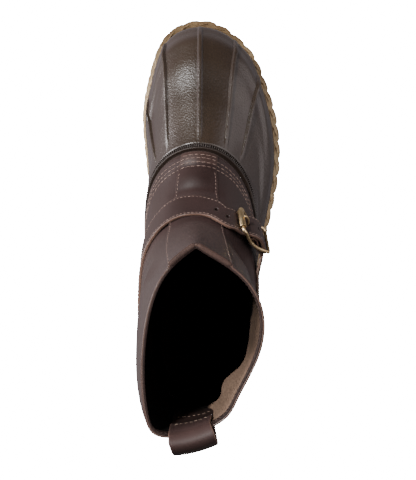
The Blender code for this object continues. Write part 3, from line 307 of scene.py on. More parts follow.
def shell(name, loops, joined=True, marks=None):
    """Smooth mesh over closed loops in metres; joins the last loop to the first, or caps both
    ends. marks gives named numbers at each point for a material to read."""
    n = len(loops[0])
    verts = np.concatenate(loops)
    count = len(loops)
    k = np.arange(count if joined else count - 1)[:, None] * n
    up = (k + n) % (count * n)
    i = np.arange(n)[None, :]
    j = (i + 1) % n
    faces = np.stack([k + i, k + j, up + j, up + i], axis=2).reshape(-1, 4)
    a, b, c, d = (verts[faces[:, m]] for m in range(4))
    if np.sum(np.cross(b - a, c - a) * a) + np.sum(np.cross(c - a, d - a) * a) < 0.0:
        faces = faces[:, ::-1]
    faces = faces.tolist()
    if not joined:
        turn = faces[0][0] < faces[0][1] or faces[0][0] - faces[0][1] > 1
        first = list(range(n))
        last = list(range((count - 1) * n, count * n))
        faces.append(first[::-1] if turn else first)
        faces.append(last if turn else last[::-1])
    mesh = bpy.data.meshes.new(name)
    mesh.from_pydata(verts.tolist(), [], faces)
    if not joined:
        face_outward(mesh)
    mesh.shade_smooth()
    for key, values in (marks or {}).items():
        layer = mesh.attributes.new(key, "FLOAT", "POINT")
        layer.data.foreach_set("value", np.concatenate(values).astype(np.float32))
    return add(name, mesh)


def group_tree(name, kind, takes, gives):
    """Node group with its sockets, and the two nodes that hold them."""
    tree = bpy.data.node_groups.new(name, kind)
    for side, sockets in (("INPUT", takes), ("OUTPUT", gives)):
        for label, value in sockets:
            tree.interface.new_socket(label, in_out=side, socket_type="NodeSocket" + value)
    return tree, tree.nodes.new("NodeGroupInput"), tree.nodes.new("NodeGroupOutput")


def new_node(tree, kind, values=(), **settings):
    """Node with its settings, and pairs of an input socket and its value."""
    made = tree.nodes.new(kind)
    for key, value in settings.items():
        setattr(made, key, value)
    for key, value in values:
        made.inputs[key].default_value = value
    return made


def link_all(tree, *links):
    """Links sockets: a node, its output, the next node and that one's input."""
    for source, given, target, taken in links:
        tree.links.new(source.outputs[given], target.inputs[taken])


def grain_group():
    """Pebbled skin as a shader group: fine cells and a slow cloud, read from the piece's place."""
    tree, given, out = group_tree(
        "pebble_grain", "ShaderNodeTree",
        (("Vector", "Vector"), ("Cell Scale", "Float"), ("Cloud Scale", "Float"),
         ("Cell Share", "Float")),
        (("Height", "Float"), ("Cloud", "Float")))
    cells = new_node(tree, "ShaderNodeTexVoronoi", feature="SMOOTH_F1")
    fine = new_node(tree, "ShaderNodeTexNoise")
    cloud = new_node(tree, "ShaderNodeTexNoise", [("Detail", 4.0)])
    mix = new_node(tree, "ShaderNodeMix")
    link_all(tree, (given, "Vector", cells, "Vector"), (given, "Cell Scale", cells, "Scale"),
             (given, "Vector", fine, "Vector"), (given, "Cell Scale", fine, "Scale"),
             (given, "Vector", cloud, "Vector"), (given, "Cloud Scale", cloud, "Scale"),
             (given, "Cell Share", mix, 0), (fine, 0, mix, 2), (cells, "Distance", mix, 3),
             (mix, 0, out, "Height"), (cloud, 0, out, "Cloud"))
    return tree


GRAIN = grain_group()


def ramp_between(tree, start, dark, stop, light):
    """Colour ramp from dark at start to light at stop."""
    ramp = tree.nodes.new("ShaderNodeValToRGB")
    for element, spot_at, colour in zip(ramp.color_ramp.elements, (start, stop), (dark, light)):
        element.position = spot_at
        element.color = (*colour, 1.0)
    return ramp


def finish(name, dark, light, rough, grain, bump, metallic=0.0, coat=0.0, coat_rough=0.3,
           specular=0.5, edge=None, rough_swing=0.1, painted_sheen=None):
    """Material with clouded colour between dark and light and a bump of fine grain.
    grain is cell scale, cloud scale and the cells' share; edge is a mark and its colour;
    the last argument is the colour of a painted reflection, mixed in where the surface
    turns away from the view."""
    m = bpy.data.materials.new(name)
    m.use_nodes = True
    tree = m.node_tree
    shader = tree.nodes["Principled BSDF"]
    shader.inputs["Metallic"].default_value = metallic
    shader.inputs["Coat Weight"].default_value = coat
    shader.inputs["Coat Roughness"].default_value = coat_rough
    shader.inputs["Specular IOR Level"].default_value = specular
    where = tree.nodes.new("ShaderNodeTexCoord")
    look = new_node(tree, "ShaderNodeGroup", zip(("Cell Scale", "Cloud Scale", "Cell Share"), grain),
                    node_tree=GRAIN)
    ramp = ramp_between(tree, 0.3, dark, 0.72, light)
    colour = (ramp, 0)
    if edge is not None:
        mark = new_node(tree, "ShaderNodeAttribute", attribute_name=edge[0])
        blend = new_node(tree, "ShaderNodeMix", [(7, (*edge[1], 1.0))], data_type="RGBA")
        link_all(tree, (mark, "Fac", blend, 0), (*colour, blend, 6))
        colour = (blend, 2)
    if painted_sheen is not None:
        # Painted reflection: a pale colour is mixed in where the surface turns away from the view. It
        # stands for the sheen of the lamps and the floor.
        away = new_node(tree, "ShaderNodeLayerWeight", [("Blend", 0.4)])
        start = new_node(tree, "ShaderNodeMapRange", [("From Min", 0.12), ("From Max", 0.75)])
        sheen_blend = new_node(tree, "ShaderNodeMix", [(7, (*painted_sheen, 1.0))], data_type="RGBA")
        link_all(tree, (away, "Facing", start, "Value"), (start, 0, sheen_blend, 0), (*colour, sheen_blend, 6))
        colour = (sheen_blend, 2)
    swing = new_node(tree, "ShaderNodeMapRange",
                     [("To Min", rough - rough_swing), ("To Max", rough + rough_swing)])
    relief = new_node(tree, "ShaderNodeBump", [("Strength", bump[0]), ("Distance", bump[1])])
    link_all(tree, (where, "Object", look, "Vector"), (look, "Cloud", ramp, 0),
             (*colour, shader, "Base Color"), (look, "Cloud", swing, "Value"),
             (swing, 0, shader, "Roughness"), (look, "Height", relief, "Height"),
             (relief, 0, shader, "Normal"))
    return m


def rubber_shares(q):
    """Columns round ring q, close together at the ribs, each one's distance from a rib, and
    how far it lies in the dish between two ribs."""
    _, _, length = ring(q)
    wide = RIB_ZONE / length
    apart = RIB_APART * wide
    at = {r[0]: crossing(q, r[1:], not r[0].endswith("_in")) for r in RIBS}
    a1 = max(at["inner_out"], apart)
    a2 = max(at["outer_out"], a1 + apart)
    b1 = min(at["inner_in"], 1.0 - apart)
    b2 = min(at["outer_in"], b1 - apart)
    cols = []
    gaps = []
    hollow = []
    ribs = (0.0, a1, a2, b2, b1, 1.0)
    for k, (start, stop, count) in enumerate(zip(ribs[:-1], ribs[1:], RIB_FILLS)):
        near = np.linspace(0.0, 1.0, 9)[:-1] * wide
        mid = np.linspace(start + wide, stop - wide, count + 1)
        far = stop - near[::-1][:-1] if k < 5 else []
        part = np.concatenate([start + near, mid, far])
        gap = np.minimum(part - start, stop - part) * length
        dish = np.sin(math.pi * (part - start) / (stop - start)) if k != 2 else np.zeros(len(part))
        cols.append(part)
        gaps.append(gap)
        hollow.append(dish)
    return np.concatenate(cols), np.concatenate(gaps), np.concatenate(hollow)


RUBBER_FOLDS = (
    ("inner_flex", -0.6, 8.0, (-38.0, 212.0, 28.0), (-38.0, 198.0, 42.0), (-36.0, 186.0, 58.0)),
    ("toe_hollow", -0.5, 13.0, (13.0, 276.0, 50.0), (14.0, 255.0, 62.0), (12.0, 232.0, 70.0)),
)
loops = []
for q in np.linspace(Q["feather"], Q["bead"], RUBBER_ROWS):
    shares, gaps, hollow = rubber_shares(q)
    below = Q["bead"] - q
    # The ribs grow out of the side wall, with shallow dishes between them, and sink away
    # below the top edge.
    grown = float(smooth((q - Q["bulge"]) / (Q["knuckle"] - Q["bulge"])))
    dished = float(smooth(below / (Q["bead"] - Q["vamp"])) * 0.7 + 0.3)
    rise = RIB_RISE * grown * smooth((RIB_HALF - gaps) / 0.9)
    rise -= PANEL_HOLLOW * grown * hollow * dished
    rise *= float(smooth(below / 0.045)) * (0.5 + 0.5 * float(smooth(below / 0.14)))
    # A soft ridge crosses the toe where the side wall turns into the top.
    from_toe = np.minimum(shares, 1.0 - shares)
    ridge_at = np.exp(-((q - Q["knuckle"] * 1.22) / 0.026) ** 2)
    rise = rise + RIDGE_RISE * ridge_at * smooth((0.17 - from_toe) / 0.06)
    outs = normals(shares, q)
    points = skin(shares, q) + outs * rise[:, None]
    loops.append(place(crease(points, outs, RUBBER_FOLDS)))
# The top edge, then the thin flange inside it, then the inner wall down to the sole.
band = Q["leather_edge"] - Q["bead"]
for part, rise in EDGE_PROFILE:
    q = Q["bead"] + part * band
    loops.append(place(skin(shares, q) + normals(shares, q) * rise))
under = -(LEATHER_WALL + FIT_GAP)
FLANGE_Q = Q["leather_edge"] + (Q["instep_low"] - Q["leather_edge"]) * 12.0 / 13.0
for q, offset in ((Q["bead"] + 0.76 * band, under), (Q["leather_edge"], under), (FLANGE_Q, under),
                  (FLANGE_Q, under - 1.0), (Q["bead"] + 0.86 * band, under - 1.0),
                  (Q["vamp"], -RUBBER_WALL), (Q["toe_top"], -RUBBER_WALL), (Q["knuckle"], -RUBBER_WALL),
                  (Q["bulge"], -RUBBER_WALL)):
    if q < Q["bead"]:
        shares, _, _ = rubber_shares(q)
    loops.append(place(skin(shares, q) + normals(shares, q) * offset))
foot_q = Q["feather"] + 0.0005
shares, _, _ = rubber_shares(foot_q)
foot = skin(shares, foot_q) - normals(shares, foot_q) * RUBBER_WALL
foot[:, 2] = seat(foot[:, 1]) + 0.45
loops.append(place(foot))
rubber = shell("moulded_rubber_bottom", loops)
# The rubber and its top edge carry a painted reflection: a pale haze mixed in on their steep sides.
rubber_look = finish("brown_rubber_moulded", (0.0175, 0.0104, 0.0056), (0.0270, 0.0163, 0.0092), 0.35,
                     (900.0, 26.0, 0.8), (0.36, 0.0006), coat=0.30, coat_rough=0.19, rough_swing=0.03,
                     painted_sheen=(0.056, 0.0445, 0.0445))
lining_look = finish("black_cloth_lining", (0.0035, 0.0028, 0.0024), (0.007, 0.0055, 0.005), 0.95,
                     (1600.0, 60.0, 0.2), (0.3, 0.0003), specular=0.08)
edge_look = finish("brown_rubber_top_edge", (0.0125, 0.0072, 0.0045), (0.019, 0.0115, 0.0075), 0.5,
                   (900.0, 26.0, 0.8), (0.2, 0.0004), specular=0.4, rough_swing=0.03,
                   painted_sheen=(0.034, 0.026, 0.025))
for look in (rubber_look, lining_look, edge_look):
    rubber.data.materials.append(look)
index = np.zeros(len(rubber.data.polygons), dtype=np.int32)
edge_end = RUBBER_ROWS + len(EDGE_PROFILE) + 1
index[(edge_end + 1) * len(shares):] = 1
index[RUBBER_ROWS * len(shares):edge_end * len(shares)] = 2
rubber.data.polygons.foreach_set("material_index", index)
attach(rubber, "root")
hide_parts("rubber_bottom")


# Knurled band. Close ridges are moulded round the rubber's top edge, just outside the
# smooth lip, so that the leather's stitched edge is framed by a fine toothed line.

KNURL_PITCH = 1.65
KNURL_LONG = 3.5
KNURL_WIDE = 0.88
KNURL_TALL = 1.25


def along_line_tree():
    """Geometry nodes that set a small piece at even steps along lines, turned to the surface."""
    tree, given, out = group_tree(
        "pieces_along_line", "GeometryNodeTree",
        (("Geometry", "Geometry"), ("Piece", "Object"), ("Pitch", "Float"), ("Loose Turn", "Float"),
         ("Size Swing", "Float"), ("Finish", "Material")),
        (("Geometry", "Geometry"),))
    curve = new_node(tree, "GeometryNodeMeshToCurve")
    even = new_node(tree, "GeometryNodeResampleCurve", mode="LENGTH")
    spots = new_node(tree, "GeometryNodeCurveToPoints", mode="EVALUATED")
    up = new_node(tree, "GeometryNodeInputNamedAttribute", [("Name", "up")], data_type="FLOAT_VECTOR")
    first = new_node(tree, "FunctionNodeAlignRotationToVector", axis="X")
    second = new_node(tree, "FunctionNodeAlignRotationToVector", axis="Z", pivot_axis="X")
    turn = new_node(tree, "FunctionNodeRandomValue", [("Seed", 7)], data_type="FLOAT_VECTOR")
    less = new_node(tree, "ShaderNodeVectorMath", [("Scale", -1.0)], operation="SCALE")
    grow = new_node(tree, "FunctionNodeRandomValue", [("Seed", 3)], data_type="FLOAT")
    small = new_node(tree, "ShaderNodeMath", [(0, 1.0)], operation="SUBTRACT")
    big = new_node(tree, "ShaderNodeMath", [(0, 1.0)], operation="ADD")
    twist = new_node(tree, "FunctionNodeRotateRotation", rotation_space="LOCAL")
    piece = new_node(tree, "GeometryNodeObjectInfo")
    put = new_node(tree, "GeometryNodeInstanceOnPoints")
    real = new_node(tree, "GeometryNodeRealizeInstances")
    paint = new_node(tree, "GeometryNodeSetMaterial")
    link_all(tree, (given, "Geometry", curve, 0), (curve, 0, even, "Curve"),
             (given, "Pitch", even, "Length"), (even, 0, spots, 0),
             (spots, "Tangent", first, "Vector"), (first, 0, second, "Rotation"),
             (up, 0, second, "Vector"), (given, "Loose Turn", less, 0), (less, 0, turn, "Min"),
             (given, "Loose Turn", turn, "Max"), (second, 0, twist, "Rotation"),
             (turn, 0, twist, "Rotate By"), (given, "Size Swing", small, 1),
             (given, "Size Swing", big, 1), (small, 0, grow, 2), (big, 0, grow, 3),
             (given, "Piece", piece, 0), (spots, "Points", put, "Points"),
             (piece, "Geometry", put, "Instance"), (twist, 0, put, "Rotation"),
             (grow, 1, put, "Scale"), (put, 0, real, 0), (real, 0, paint, "Geometry"),
             (given, "Finish", paint, "Material"), (paint, 0, out, 0))
    return tree


ALONG_LINE = along_line_tree()


def evaluated(ob):
    """Mesh of an object with its modifiers worked in."""
    bpy.context.view_layer.update()
    graph = bpy.context.evaluated_depsgraph_get()
    return bpy.data.meshes.new_from_object(ob.evaluated_get(graph))


def repeat(name, piece, pitch, lines, look, loose=0.0, swing=0.0):
    """Sets copies of a piece along lines of points with outward directions, in millimetres.
    A line is points, outward directions, and whether it closes on itself."""
    verts = []
    ups = []
    edges = []
    for points, outs, closed in lines:
        base = len(verts)
        verts += place(points).tolist()
        ups += (np.atleast_2d(outs) * np.array([-1.0, -1.0, 1.0])).tolist()
        edges += [(base + k, base + k + 1) for k in range(len(points) - 1)]
        if closed:
            edges.append((base + len(points) - 1, base))
    mesh = bpy.data.meshes.new(name + "_path")
    mesh.from_pydata(verts, edges, [])
    layer = mesh.attributes.new("up", "FLOAT_VECTOR", "POINT")
    layer.data.foreach_set("vector", np.array(ups, dtype=np.float32).ravel())
    path = add(name + "_path", mesh)
    mod = path.modifiers.new("pieces", "NODES")
    mod.node_group = ALONG_LINE
    values = {"Piece": piece, "Pitch": pitch * 0.001, "Loose Turn": loose, "Size Swing": swing,
              "Finish": look}
    for item in ALONG_LINE.interface.items_tree:
        if item.in_out == "INPUT" and item.name in values:
            mod[item.identifier] = values[item.name]
    made = evaluated(path)
    bpy.data.objects.remove(path)
    bpy.data.meshes.remove(mesh)
    for key in [a.name for a in made.attributes if a.name == "up"]:
        made.attributes.remove(made.attributes[key])
    made.shade_smooth()
    return add(name, made)


def rod(name, stations, around, shape):
    """Closed rod along X for repeating. At each place from 0 to 1 shape gives the centre, half
    width, half height, and the depth, count and turn of a ripple round it."""
    loops = []
    for t in np.linspace(0.0, 1.0, stations):
        x, y, z, wide, tall, ripple, phase = shape(t)
        a = np.arange(around) * 2.0 * math.pi / around
        r = 1.0 + ripple * np.cos(phase[0] * a + phase[1] * t)
        ring_at = [np.full(around, x), y + wide * r * np.cos(a), z + tall * r * np.sin(a)]
        loops.append(np.stack(ring_at, axis=1) * 0.001)
    return shell(name, loops, joined=False)


def knurl_shape(t):
    """Short ridge, rounded off at both sides."""
    x = (t - 0.5) * KNURL_WIDE
    bow = math.sqrt(max(1.0 - (2.0 * t - 1.0) ** 2, 0.03))
    return x, 0.0, 0.0, 0.5 * KNURL_LONG * (0.85 + 0.15 * bow), KNURL_TALL * bow, 0.0, (0, 0)


ridge = rod("knurl_ridge", 5, 10, knurl_shape)
turns = np.arange(720) / 720.0
knurl_q = Q["bead"] + 0.22 * band
knurl_line = skin(turns, knurl_q)
knurl_outs = normals(turns, knurl_q)
knurl_path = [(knurl_line - knurl_outs * 0.15, knurl_outs, True)]
knurl = repeat("knurled_band", ridge, KNURL_PITCH, knurl_path, edge_look)
bpy.data.objects.remove(ridge)
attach(knurl, "root")


# Gum sole. A tan rubber unit, moulded with a scalloped rim that looks like a row of
# overlapping leaves, a heel block and a lugged tread. The lobes here cover the rim's
# faceted steps; the tread below is the CAD solid with the gum finish. The gum is painted
# darker towards the toe: painted shade that offsets the toe lamp.

LOBES = 52
LOBE_OVERLAP = 1.3
LOBE_HALF = 5.3
LOBE_TALL = 2.9
RIM_INSET = 3.2
RIM_DROP = 4.9
RIM_POINTS = 520
# The cement line's section: distance outward of the rubber and height over the sole.
# It is coloured near-black as painted shade of the gap over the rim.
CEMENT_SECTION = ((-1.0, 0.15), (2.1, 0.15), (2.3, 0.4), (1.9, 0.7), (-1.0, 0.9))


def gum_finish(name, streaks):
    """Gum rubber with streaks of a darker tint, painted darker towards the toe as painted shade."""
    # The gum carries a painted reflection: a paler colour mixed in on its steep sides.
    m = finish(name, (0.36, 0.26, 0.145), (0.57, 0.44, 0.27), 0.7, (900.0, 120.0, 0.3),
               (0.25, 0.0003), specular=0.3, painted_sheen=(0.66, 0.54, 0.38))
    tree = m.node_tree
    shader = tree.nodes["Principled BSDF"]
    plain = shader.inputs["Base Color"].links[0].from_socket
    where = tree.nodes.new("ShaderNodeTexCoord")
    streak = new_node(tree, "ShaderNodeTexNoise", [("Scale", 420.0), ("Detail", 2.0)])
    ramp = ramp_between(tree, 0.45, (1.0, 1.0, 1.0), 0.68, streaks)
    times = new_node(tree, "ShaderNodeMix", [(0, 1.0)], data_type="RGBA", blend_type="MULTIPLY")
    along = tree.nodes.new("ShaderNodeSeparateXYZ")
    # Painted shade: the gum is multiplied darker towards the toe, offsetting the toe lamp that lights it
    # most.
    front = new_node(tree, "ShaderNodeMapRange", [("From Min", -0.195), ("From Max", -0.250)])
    toe_shade = new_node(tree, "ShaderNodeMix", [(7, (0.25, 0.21, 0.155, 1.0))], data_type="RGBA",
                     blend_type="MULTIPLY")
    tree.links.new(plain, times.inputs[6])
    link_all(tree, (where, "Object", streak, "Vector"), (streak, 0, ramp, 0), (ramp, 0, times, 7),
             (where, "Object", along, 0), (along, "Y", front, "Value"), (front, 0, toe_shade, 0),
             (times, 2, toe_shade, 6), (toe_shade, 2, shader, "Base Color"))
    return m


gum_look = gum_finish("gum_rubber_rim", (0.42, 0.29, 0.17))
share, plan, sole_round = ring_points(np.array(SOLE_ROW))
LOBE_PITCH = sole_round / LOBES


def lobe_shape(t):
    """Leaf: starts slim under the last lobe, swells outward and ends in a blunt notch."""
    x = (t - 0.5) * LOBE_PITCH * LOBE_OVERLAP
    taper = min((t + 0.02) / 0.5, 1.0) ** 0.5
    body = taper * math.sqrt(max(1.0 - max((t - 0.45) / 0.55, 0.0) ** 5.0, 0.0)) * 0.97 + 0.03
    lean = -1.1 + 2.0 * t
    return x, 0.0, lean, LOBE_HALF * body, LOBE_TALL * body, 0.10, (7, 4.0)


lobe = rod("rim_lobe", 15, 30, lobe_shape)
turns = np.arange(RIM_POINTS) / RIM_POINTS
level_zero = np.zeros(RIM_POINTS)
rim = np.stack([np.interp(turns, share, plan[:, k]) for k in range(2)] + [level_zero], axis=1)
ahead = np.roll(rim, -1, axis=0) - np.roll(rim, 1, axis=0)
outward = units(np.stack([ahead[:, 1], -ahead[:, 0], level_zero], axis=1))
if np.sum(outward * (rim - np.array([0.0, 150.0, 0.0]))) < 0.0:
    outward = -outward
rim = rim - outward * RIM_INSET
rim[:, 2] = seat(rim[:, 1]) - RIM_DROP
lobes = repeat("gum_rim_lobes", lobe, LOBE_PITCH, [(rim, outward, True)], gum_look)
bpy.data.objects.remove(lobe)
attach(lobes, "root")
shares = np.arange(480) / 480.0
base = skin(shares, Q["feather"])
outs = normals(shares, Q["feather"]) * np.array([1.0, 1.0, 0.0])
loops = []
for reach, rise in CEMENT_SECTION:
    ring_line = base + outs * reach
    ring_line[:, 2] = seat(ring_line[:, 1]) + rise
    loops.append(place(ring_line))
groove = shell("cement_line", loops)
# Painted shade: the cement line is near-black to stand for the shaded gap between the rim and the rubber.
groove.data.materials.append(finish("cement_gap_shade", (0.010, 0.007, 0.005), (0.016, 0.011, 0.008), 0.8,
                                    (900.0, 60.0, 0.3), (0.2, 0.0003), specular=0.2))
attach(groove, "root")
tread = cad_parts["outsole"]
tread.data.materials.clear()
tread.data.materials.append(gum_finish("gum_rubber_tread", (0.8, 0.74, 0.66)))


# Leather upper. Oiled brown cow leather: two quarters and a raised front panel that is
# sewn over them, closed into one shaft. The grain side is outside, the napped flesh
# side shows inside the lateral back, and the rest of the inner wall is painted near-black:
# a black lining and painted shade, with its edge drawn along the collar's shadow line.

PANEL = (
    ("leather_edge", -12.6, 13.4),
    ("instep_low", -15.6, 12.6),
    ("strap_low", -18.3, 14.3),
    ("strap_high", -21.6, 16.9),
    ("ankle", -23.0, 19.0),
    ("shaft", -22.8, 20.6),
    ("upper_shaft", -21.4, 21.9),
    ("collar", -19.6, 22.8),
)
PANEL_STEP = 1.0
FACING_STEP = 0.9
FACING_DEPTH = 11.0
SHAFT_SPAN = 29.0
INSTEP_SPAN = 16.0
COLLAR_HEIGHT = 208.0
BELLY = 10.0
OUTSIDE_ROWS = 128
INSIDE_ROWS = 80
SEAM_STEPS = np.array([-1.6, -0.8, -0.45, -0.25, -0.1, 0.1, 0.25, 0.45, 0.8, 1.6])
SEAM_REACH = 2.2
LEATHER_FOLDS = (
    ("strap_hollow", -1.4, 5.0, (-24.0, 163.0, 98.0), (-2.0, 167.0, 101.0), (20.0, 164.0, 99.0)),
    ("instep_swell", 0.7, 6.0, (-20.0, 175.0, 92.0), (-2.0, 177.0, 94.0), (18.0, 175.0, 92.0)),
    ("instep_wave", -0.5, 4.5, (-20.0, 183.5, 89.0), (-4.0, 185.0, 90.0), (8.0, 184.0, 89.5)),
    ("above_strap", -1.2, 5.0, (-26.0, 140.0, 121.0), (-2.0, 142.0, 122.0), (22.0, 140.0, 121.0)),
    ("inner_press", 0.5, 6.0, (-35.0, 124.0, 106.0), (-40.0, 108.0, 107.0), (-41.5, 84.0, 106.0)),
    ("outer_gap", -7.5, 12.0, (24.0, 136.0, 112.0), (31.0, 122.0, 118.0), (36.0, 104.0, 126.0),
     (39.0, 84.0, 132.0)),
    ("outer_gap_low", -4.0, 11.0, (32.0, 130.0, 102.0), (37.0, 116.0, 106.0), (40.0, 100.0, 110.0),
     (41.0, 84.0, 114.0)),
    ("inner_ankle", -1.1, 6.0, (-36.0, 116.0, 130.0), (-40.0, 92.0, 130.0), (-40.0, 66.0, 126.0)),
    ("inner_ridge", 0.9, 8.0, (-37.0, 112.0, 146.0), (-39.0, 90.0, 150.0), (-38.0, 60.0, 148.0)),
    ("inner_shaft", -2.2, 8.5, (-27.0, 116.0, 196.0), (-31.0, 112.0, 168.0), (-34.0, 104.0, 146.0)),
    ("outer_ankle", -1.2, 8.0, (39.0, 112.0, 116.0), (41.0, 88.0, 122.0), (39.0, 62.0, 116.0)),
    ("outer_shaft", -1.1, 8.0, (32.0, 112.0, 190.0), (36.0, 104.0, 160.0), (38.0, 96.0, 140.0)),
    ("outer_ridge", 0.8, 9.0, (40.0, 84.0, 186.0), (41.0, 78.0, 160.0), (40.0, 70.0, 142.0)),
    ("heel_hollow", -0.9, 9.0, (-20.0, 14.0, 130.0), (2.0, 9.0, 134.0), (20.0, 16.0, 130.0)),
)


def below_collar(depth):
    """Ring that lies depth millimetres below the collar's edge."""
    return 1.0 - depth / SHAFT_SPAN * (1.0 - Q["upper_shaft"])


def from_edges(q):
    """Millimetres from ring q down to the leather's lower edge and up to the collar."""
    low = (q - Q["leather_edge"]) / (Q["instep_low"] - Q["leather_edge"]) * INSTEP_SPAN
    return low, (1.0 - q) / (1.0 - Q["upper_shaft"]) * SHAFT_SPAN


def level(q, width, outer):
    """Share of ring q where its distance from the middle line reaches width."""
    share, points, _ = ring(q)
    half = ROUND // 2
    if outer:
        return float(np.interp(width, points[:half // 2, 0], share[:half // 2]))
    last = slice(ROUND - half // 2, None)
    return float(np.interp(-width, -points[last, 0][::-1], share[last][::-1]))


def panel_edges(q):
    """Shares where the front panel's outer and inner seams cross ring q."""
    keys = [Q[r[0]] for r in PANEL]
    return (level(q, np.interp(q, keys, [r[2] for r in PANEL]), True),
            level(q, np.interp(q, keys, [r[1] for r in PANEL]), False))


def leather_shares(q):
    """Columns round ring q with fine steps at the panel's seams, how far each is raised, and
    its distance inside the panel."""
    right, left = panel_edges(q)
    length = ring(q)[2]
    near = SEAM_STEPS / length
    far = SEAM_REACH / length
    cols = np.concatenate([np.linspace(left - 1.0 + far, right - far, 54), right + near,
                           np.linspace(right + far, left - far, 250), left + near])
    inside = np.maximum(right - cols, cols - left)
    inside = np.where(cols < 0.0, cols - (left - 1.0), inside)
    inside = np.where((cols >= 0.0) & (cols < 0.25), right - cols, inside) * length
    return cols, smooth(inside / 0.5 + 0.5), inside


loops = []
worn = []
lining_shade = []
for q in np.linspace(Q["leather_edge"], 1.0, OUTSIDE_ROWS):
    cols, raised, inside = leather_shares(q)
    outs = normals(cols, q)
    low, top = from_edges(q)
    round_off = 0.55 * (1.0 - smooth(low / 0.9)) + 0.35 * (1.0 - smooth(top))
    points = skin(cols, q) + outs * (raised * PANEL_STEP - round_off)[:, None]
    quiet = float(smooth((low - 4.0) / 8.0) * smooth((top - 1.0) / 7.0))
    points = points + (crease(points, outs, LEATHER_FOLDS) - points) * quiet
    loops.append(place(points))
    edge = np.exp(-((inside - 0.15) / 0.3) ** 2) * 0.35 + np.exp(-(low / 0.8) ** 2) * 0.35
    edge = edge + 0.14 * raised * float(smooth(10.0 - low))
    worn.append(np.clip(edge + np.exp(-(top / 0.5) ** 2) * 0.35, 0.0, 1.0))
    lining_shade.append(np.zeros(len(cols)))
wall = LEATHER_WALL + FACING_STEP
# The cut edge round the collar: distance inward, height and wear.
for inset, lift, mark in ((0.75, 0.25, 0.3), (1.25, 0.2, 0.8), (1.5, -0.1, 0.5), (1.75, 0.05, 0.0),
                          (wall - 0.5, 0.1, 0.0), (wall - 0.1, -0.2, 0.0)):
    step = raised * PANEL_STEP
    crown = skin(cols, 1.0) + outs * (step - inset - step * min(inset / wall, 1.0))[:, None]
    crown[:, 2] += lift
    loops.append(place(crown))
    worn.append(np.full(len(cols), mark))
    lining_shade.append(np.zeros(len(cols)))
crown_rows = len(loops)
inner_q = list(np.linspace(below_collar(0.6), FLANGE_Q, INSIDE_ROWS)) + [Q["leather_edge"]]
facing_q = below_collar(FACING_DEPTH)
for q in inner_q:
    cols, _, _ = leather_shares(q)
    depth = LEATHER_WALL + FACING_STEP * float(smooth((q - facing_q) / 0.004 + 0.5))
    wall_points = skin(cols, q)
    deep = COLLAR_HEIGHT - wall_points[:, 2]
    share_in = np.mod(cols, 1.0)
    # The quarter's flesh side bulges in at the outer rear ankle.
    belly = BELLY * np.exp(-((share_in - 0.40) / 0.043) ** 2)
    belly = belly * smooth((deep - 15.0) / 70.0) * smooth((130.0 - deep) / 35.0)
    outs = normals(cols, q)
    low, top = from_edges(q)
    quiet = float(smooth((low - 13.0) / 6.0) * smooth((top - 1.0) / 7.0))
    folded = (crease(wall_points, outs, LEATHER_FOLDS) - wall_points) * quiet
    loops.append(place(wall_points + folded - outs * (depth + belly)[:, None]))
    worn.append(np.zeros(len(cols)))
    # Painted shade: near-black covers the wall as a black lining, apart from a lit bare area at
    # the outer back that is partly darker towards its front; its edge and how far down it
    # reaches follow the collar's shadow line.
    lit_flesh = smooth((share_in - 0.17) / 0.05) * (0.4 + 0.6 * smooth((share_in - 0.27) / 0.07))
    shadow_line_depth = 66.0 + 33.0 * smooth((share_in - 0.22) / 0.06)
    lit_flesh = lit_flesh * smooth((0.470 - share_in) / 0.01 + 0.5) * smooth((shadow_line_depth - deep) / 8.0 + 0.5)
    lining_shade.append((1.0 - lit_flesh) * (0.0 if q > facing_q else 1.0))
upper = shell("leather_shaft", loops, marks={"worn": worn, "lining_shade": lining_shade})
WORN_EDGE = ("worn", (0.12, 0.070, 0.052))
# Near-black for the black lining and the painted shade down the shaft, read by the inner leather
# finishes.
LINING_SHADE_PART = ("lining_shade", (0.003, 0.0025, 0.002))
# The leather carries a painted reflection: a paler colour mixed in on its steep sides.
leather_look = finish("oiled_brown_leather", (0.0150, 0.0075, 0.0066), (0.026, 0.0135, 0.0120), 0.40,
                      (2300.0, 34.0, 0.65), (0.16, 0.00022), coat=0.03, coat_rough=0.28, specular=0.32,
                      edge=WORN_EDGE, rough_swing=0.07, painted_sheen=(0.046, 0.032, 0.030))
facing_look = finish("collar_facing_leather", (0.014, 0.0072, 0.0058), (0.024, 0.0125, 0.010), 0.7,
                     (1900.0, 60.0, 0.5), (0.2, 0.0002), specular=0.2, edge=LINING_SHADE_PART)
flesh_look = finish("napped_flesh_side", (0.13, 0.082, 0.058), (0.32, 0.215, 0.152), 0.95,
                    (1400.0, 800.0, 0.2), (0.7, 0.0009), specular=0.1, edge=LINING_SHADE_PART)
for look in (leather_look, facing_look, flesh_look):
    upper.data.materials.append(look)
index = np.zeros(len(upper.data.polygons), dtype=np.int32)
rows = np.arange(len(index)) // len(cols)
index[rows >= crown_rows - 4] = 1
index[rows >= crown_rows + int(np.sum(np.array(inner_q) > facing_q))] = 2
upper.data.polygons.foreach_set("material_index", index)
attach(upper, "root")
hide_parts("leather_upper")


# Stitching on the upper. Waxed tan thread: three lock-stitched rows hold the leather
# to the rubber's flange, with a short fourth row over the panel, and one row closes each
# panel seam. Brown thread runs under the collar's edge through the facing.

THREAD = 0.26
STITCH_LONG = 3.4
SEW_PITCH = 4.0
SEAM_PITCH = 2.9
SEAM_INSET = 1.7
FLANGE_ROWS = (5.9, 9.3, 12.6)
PANEL_ROW = 3.2
COLLAR_ROW = 2.6


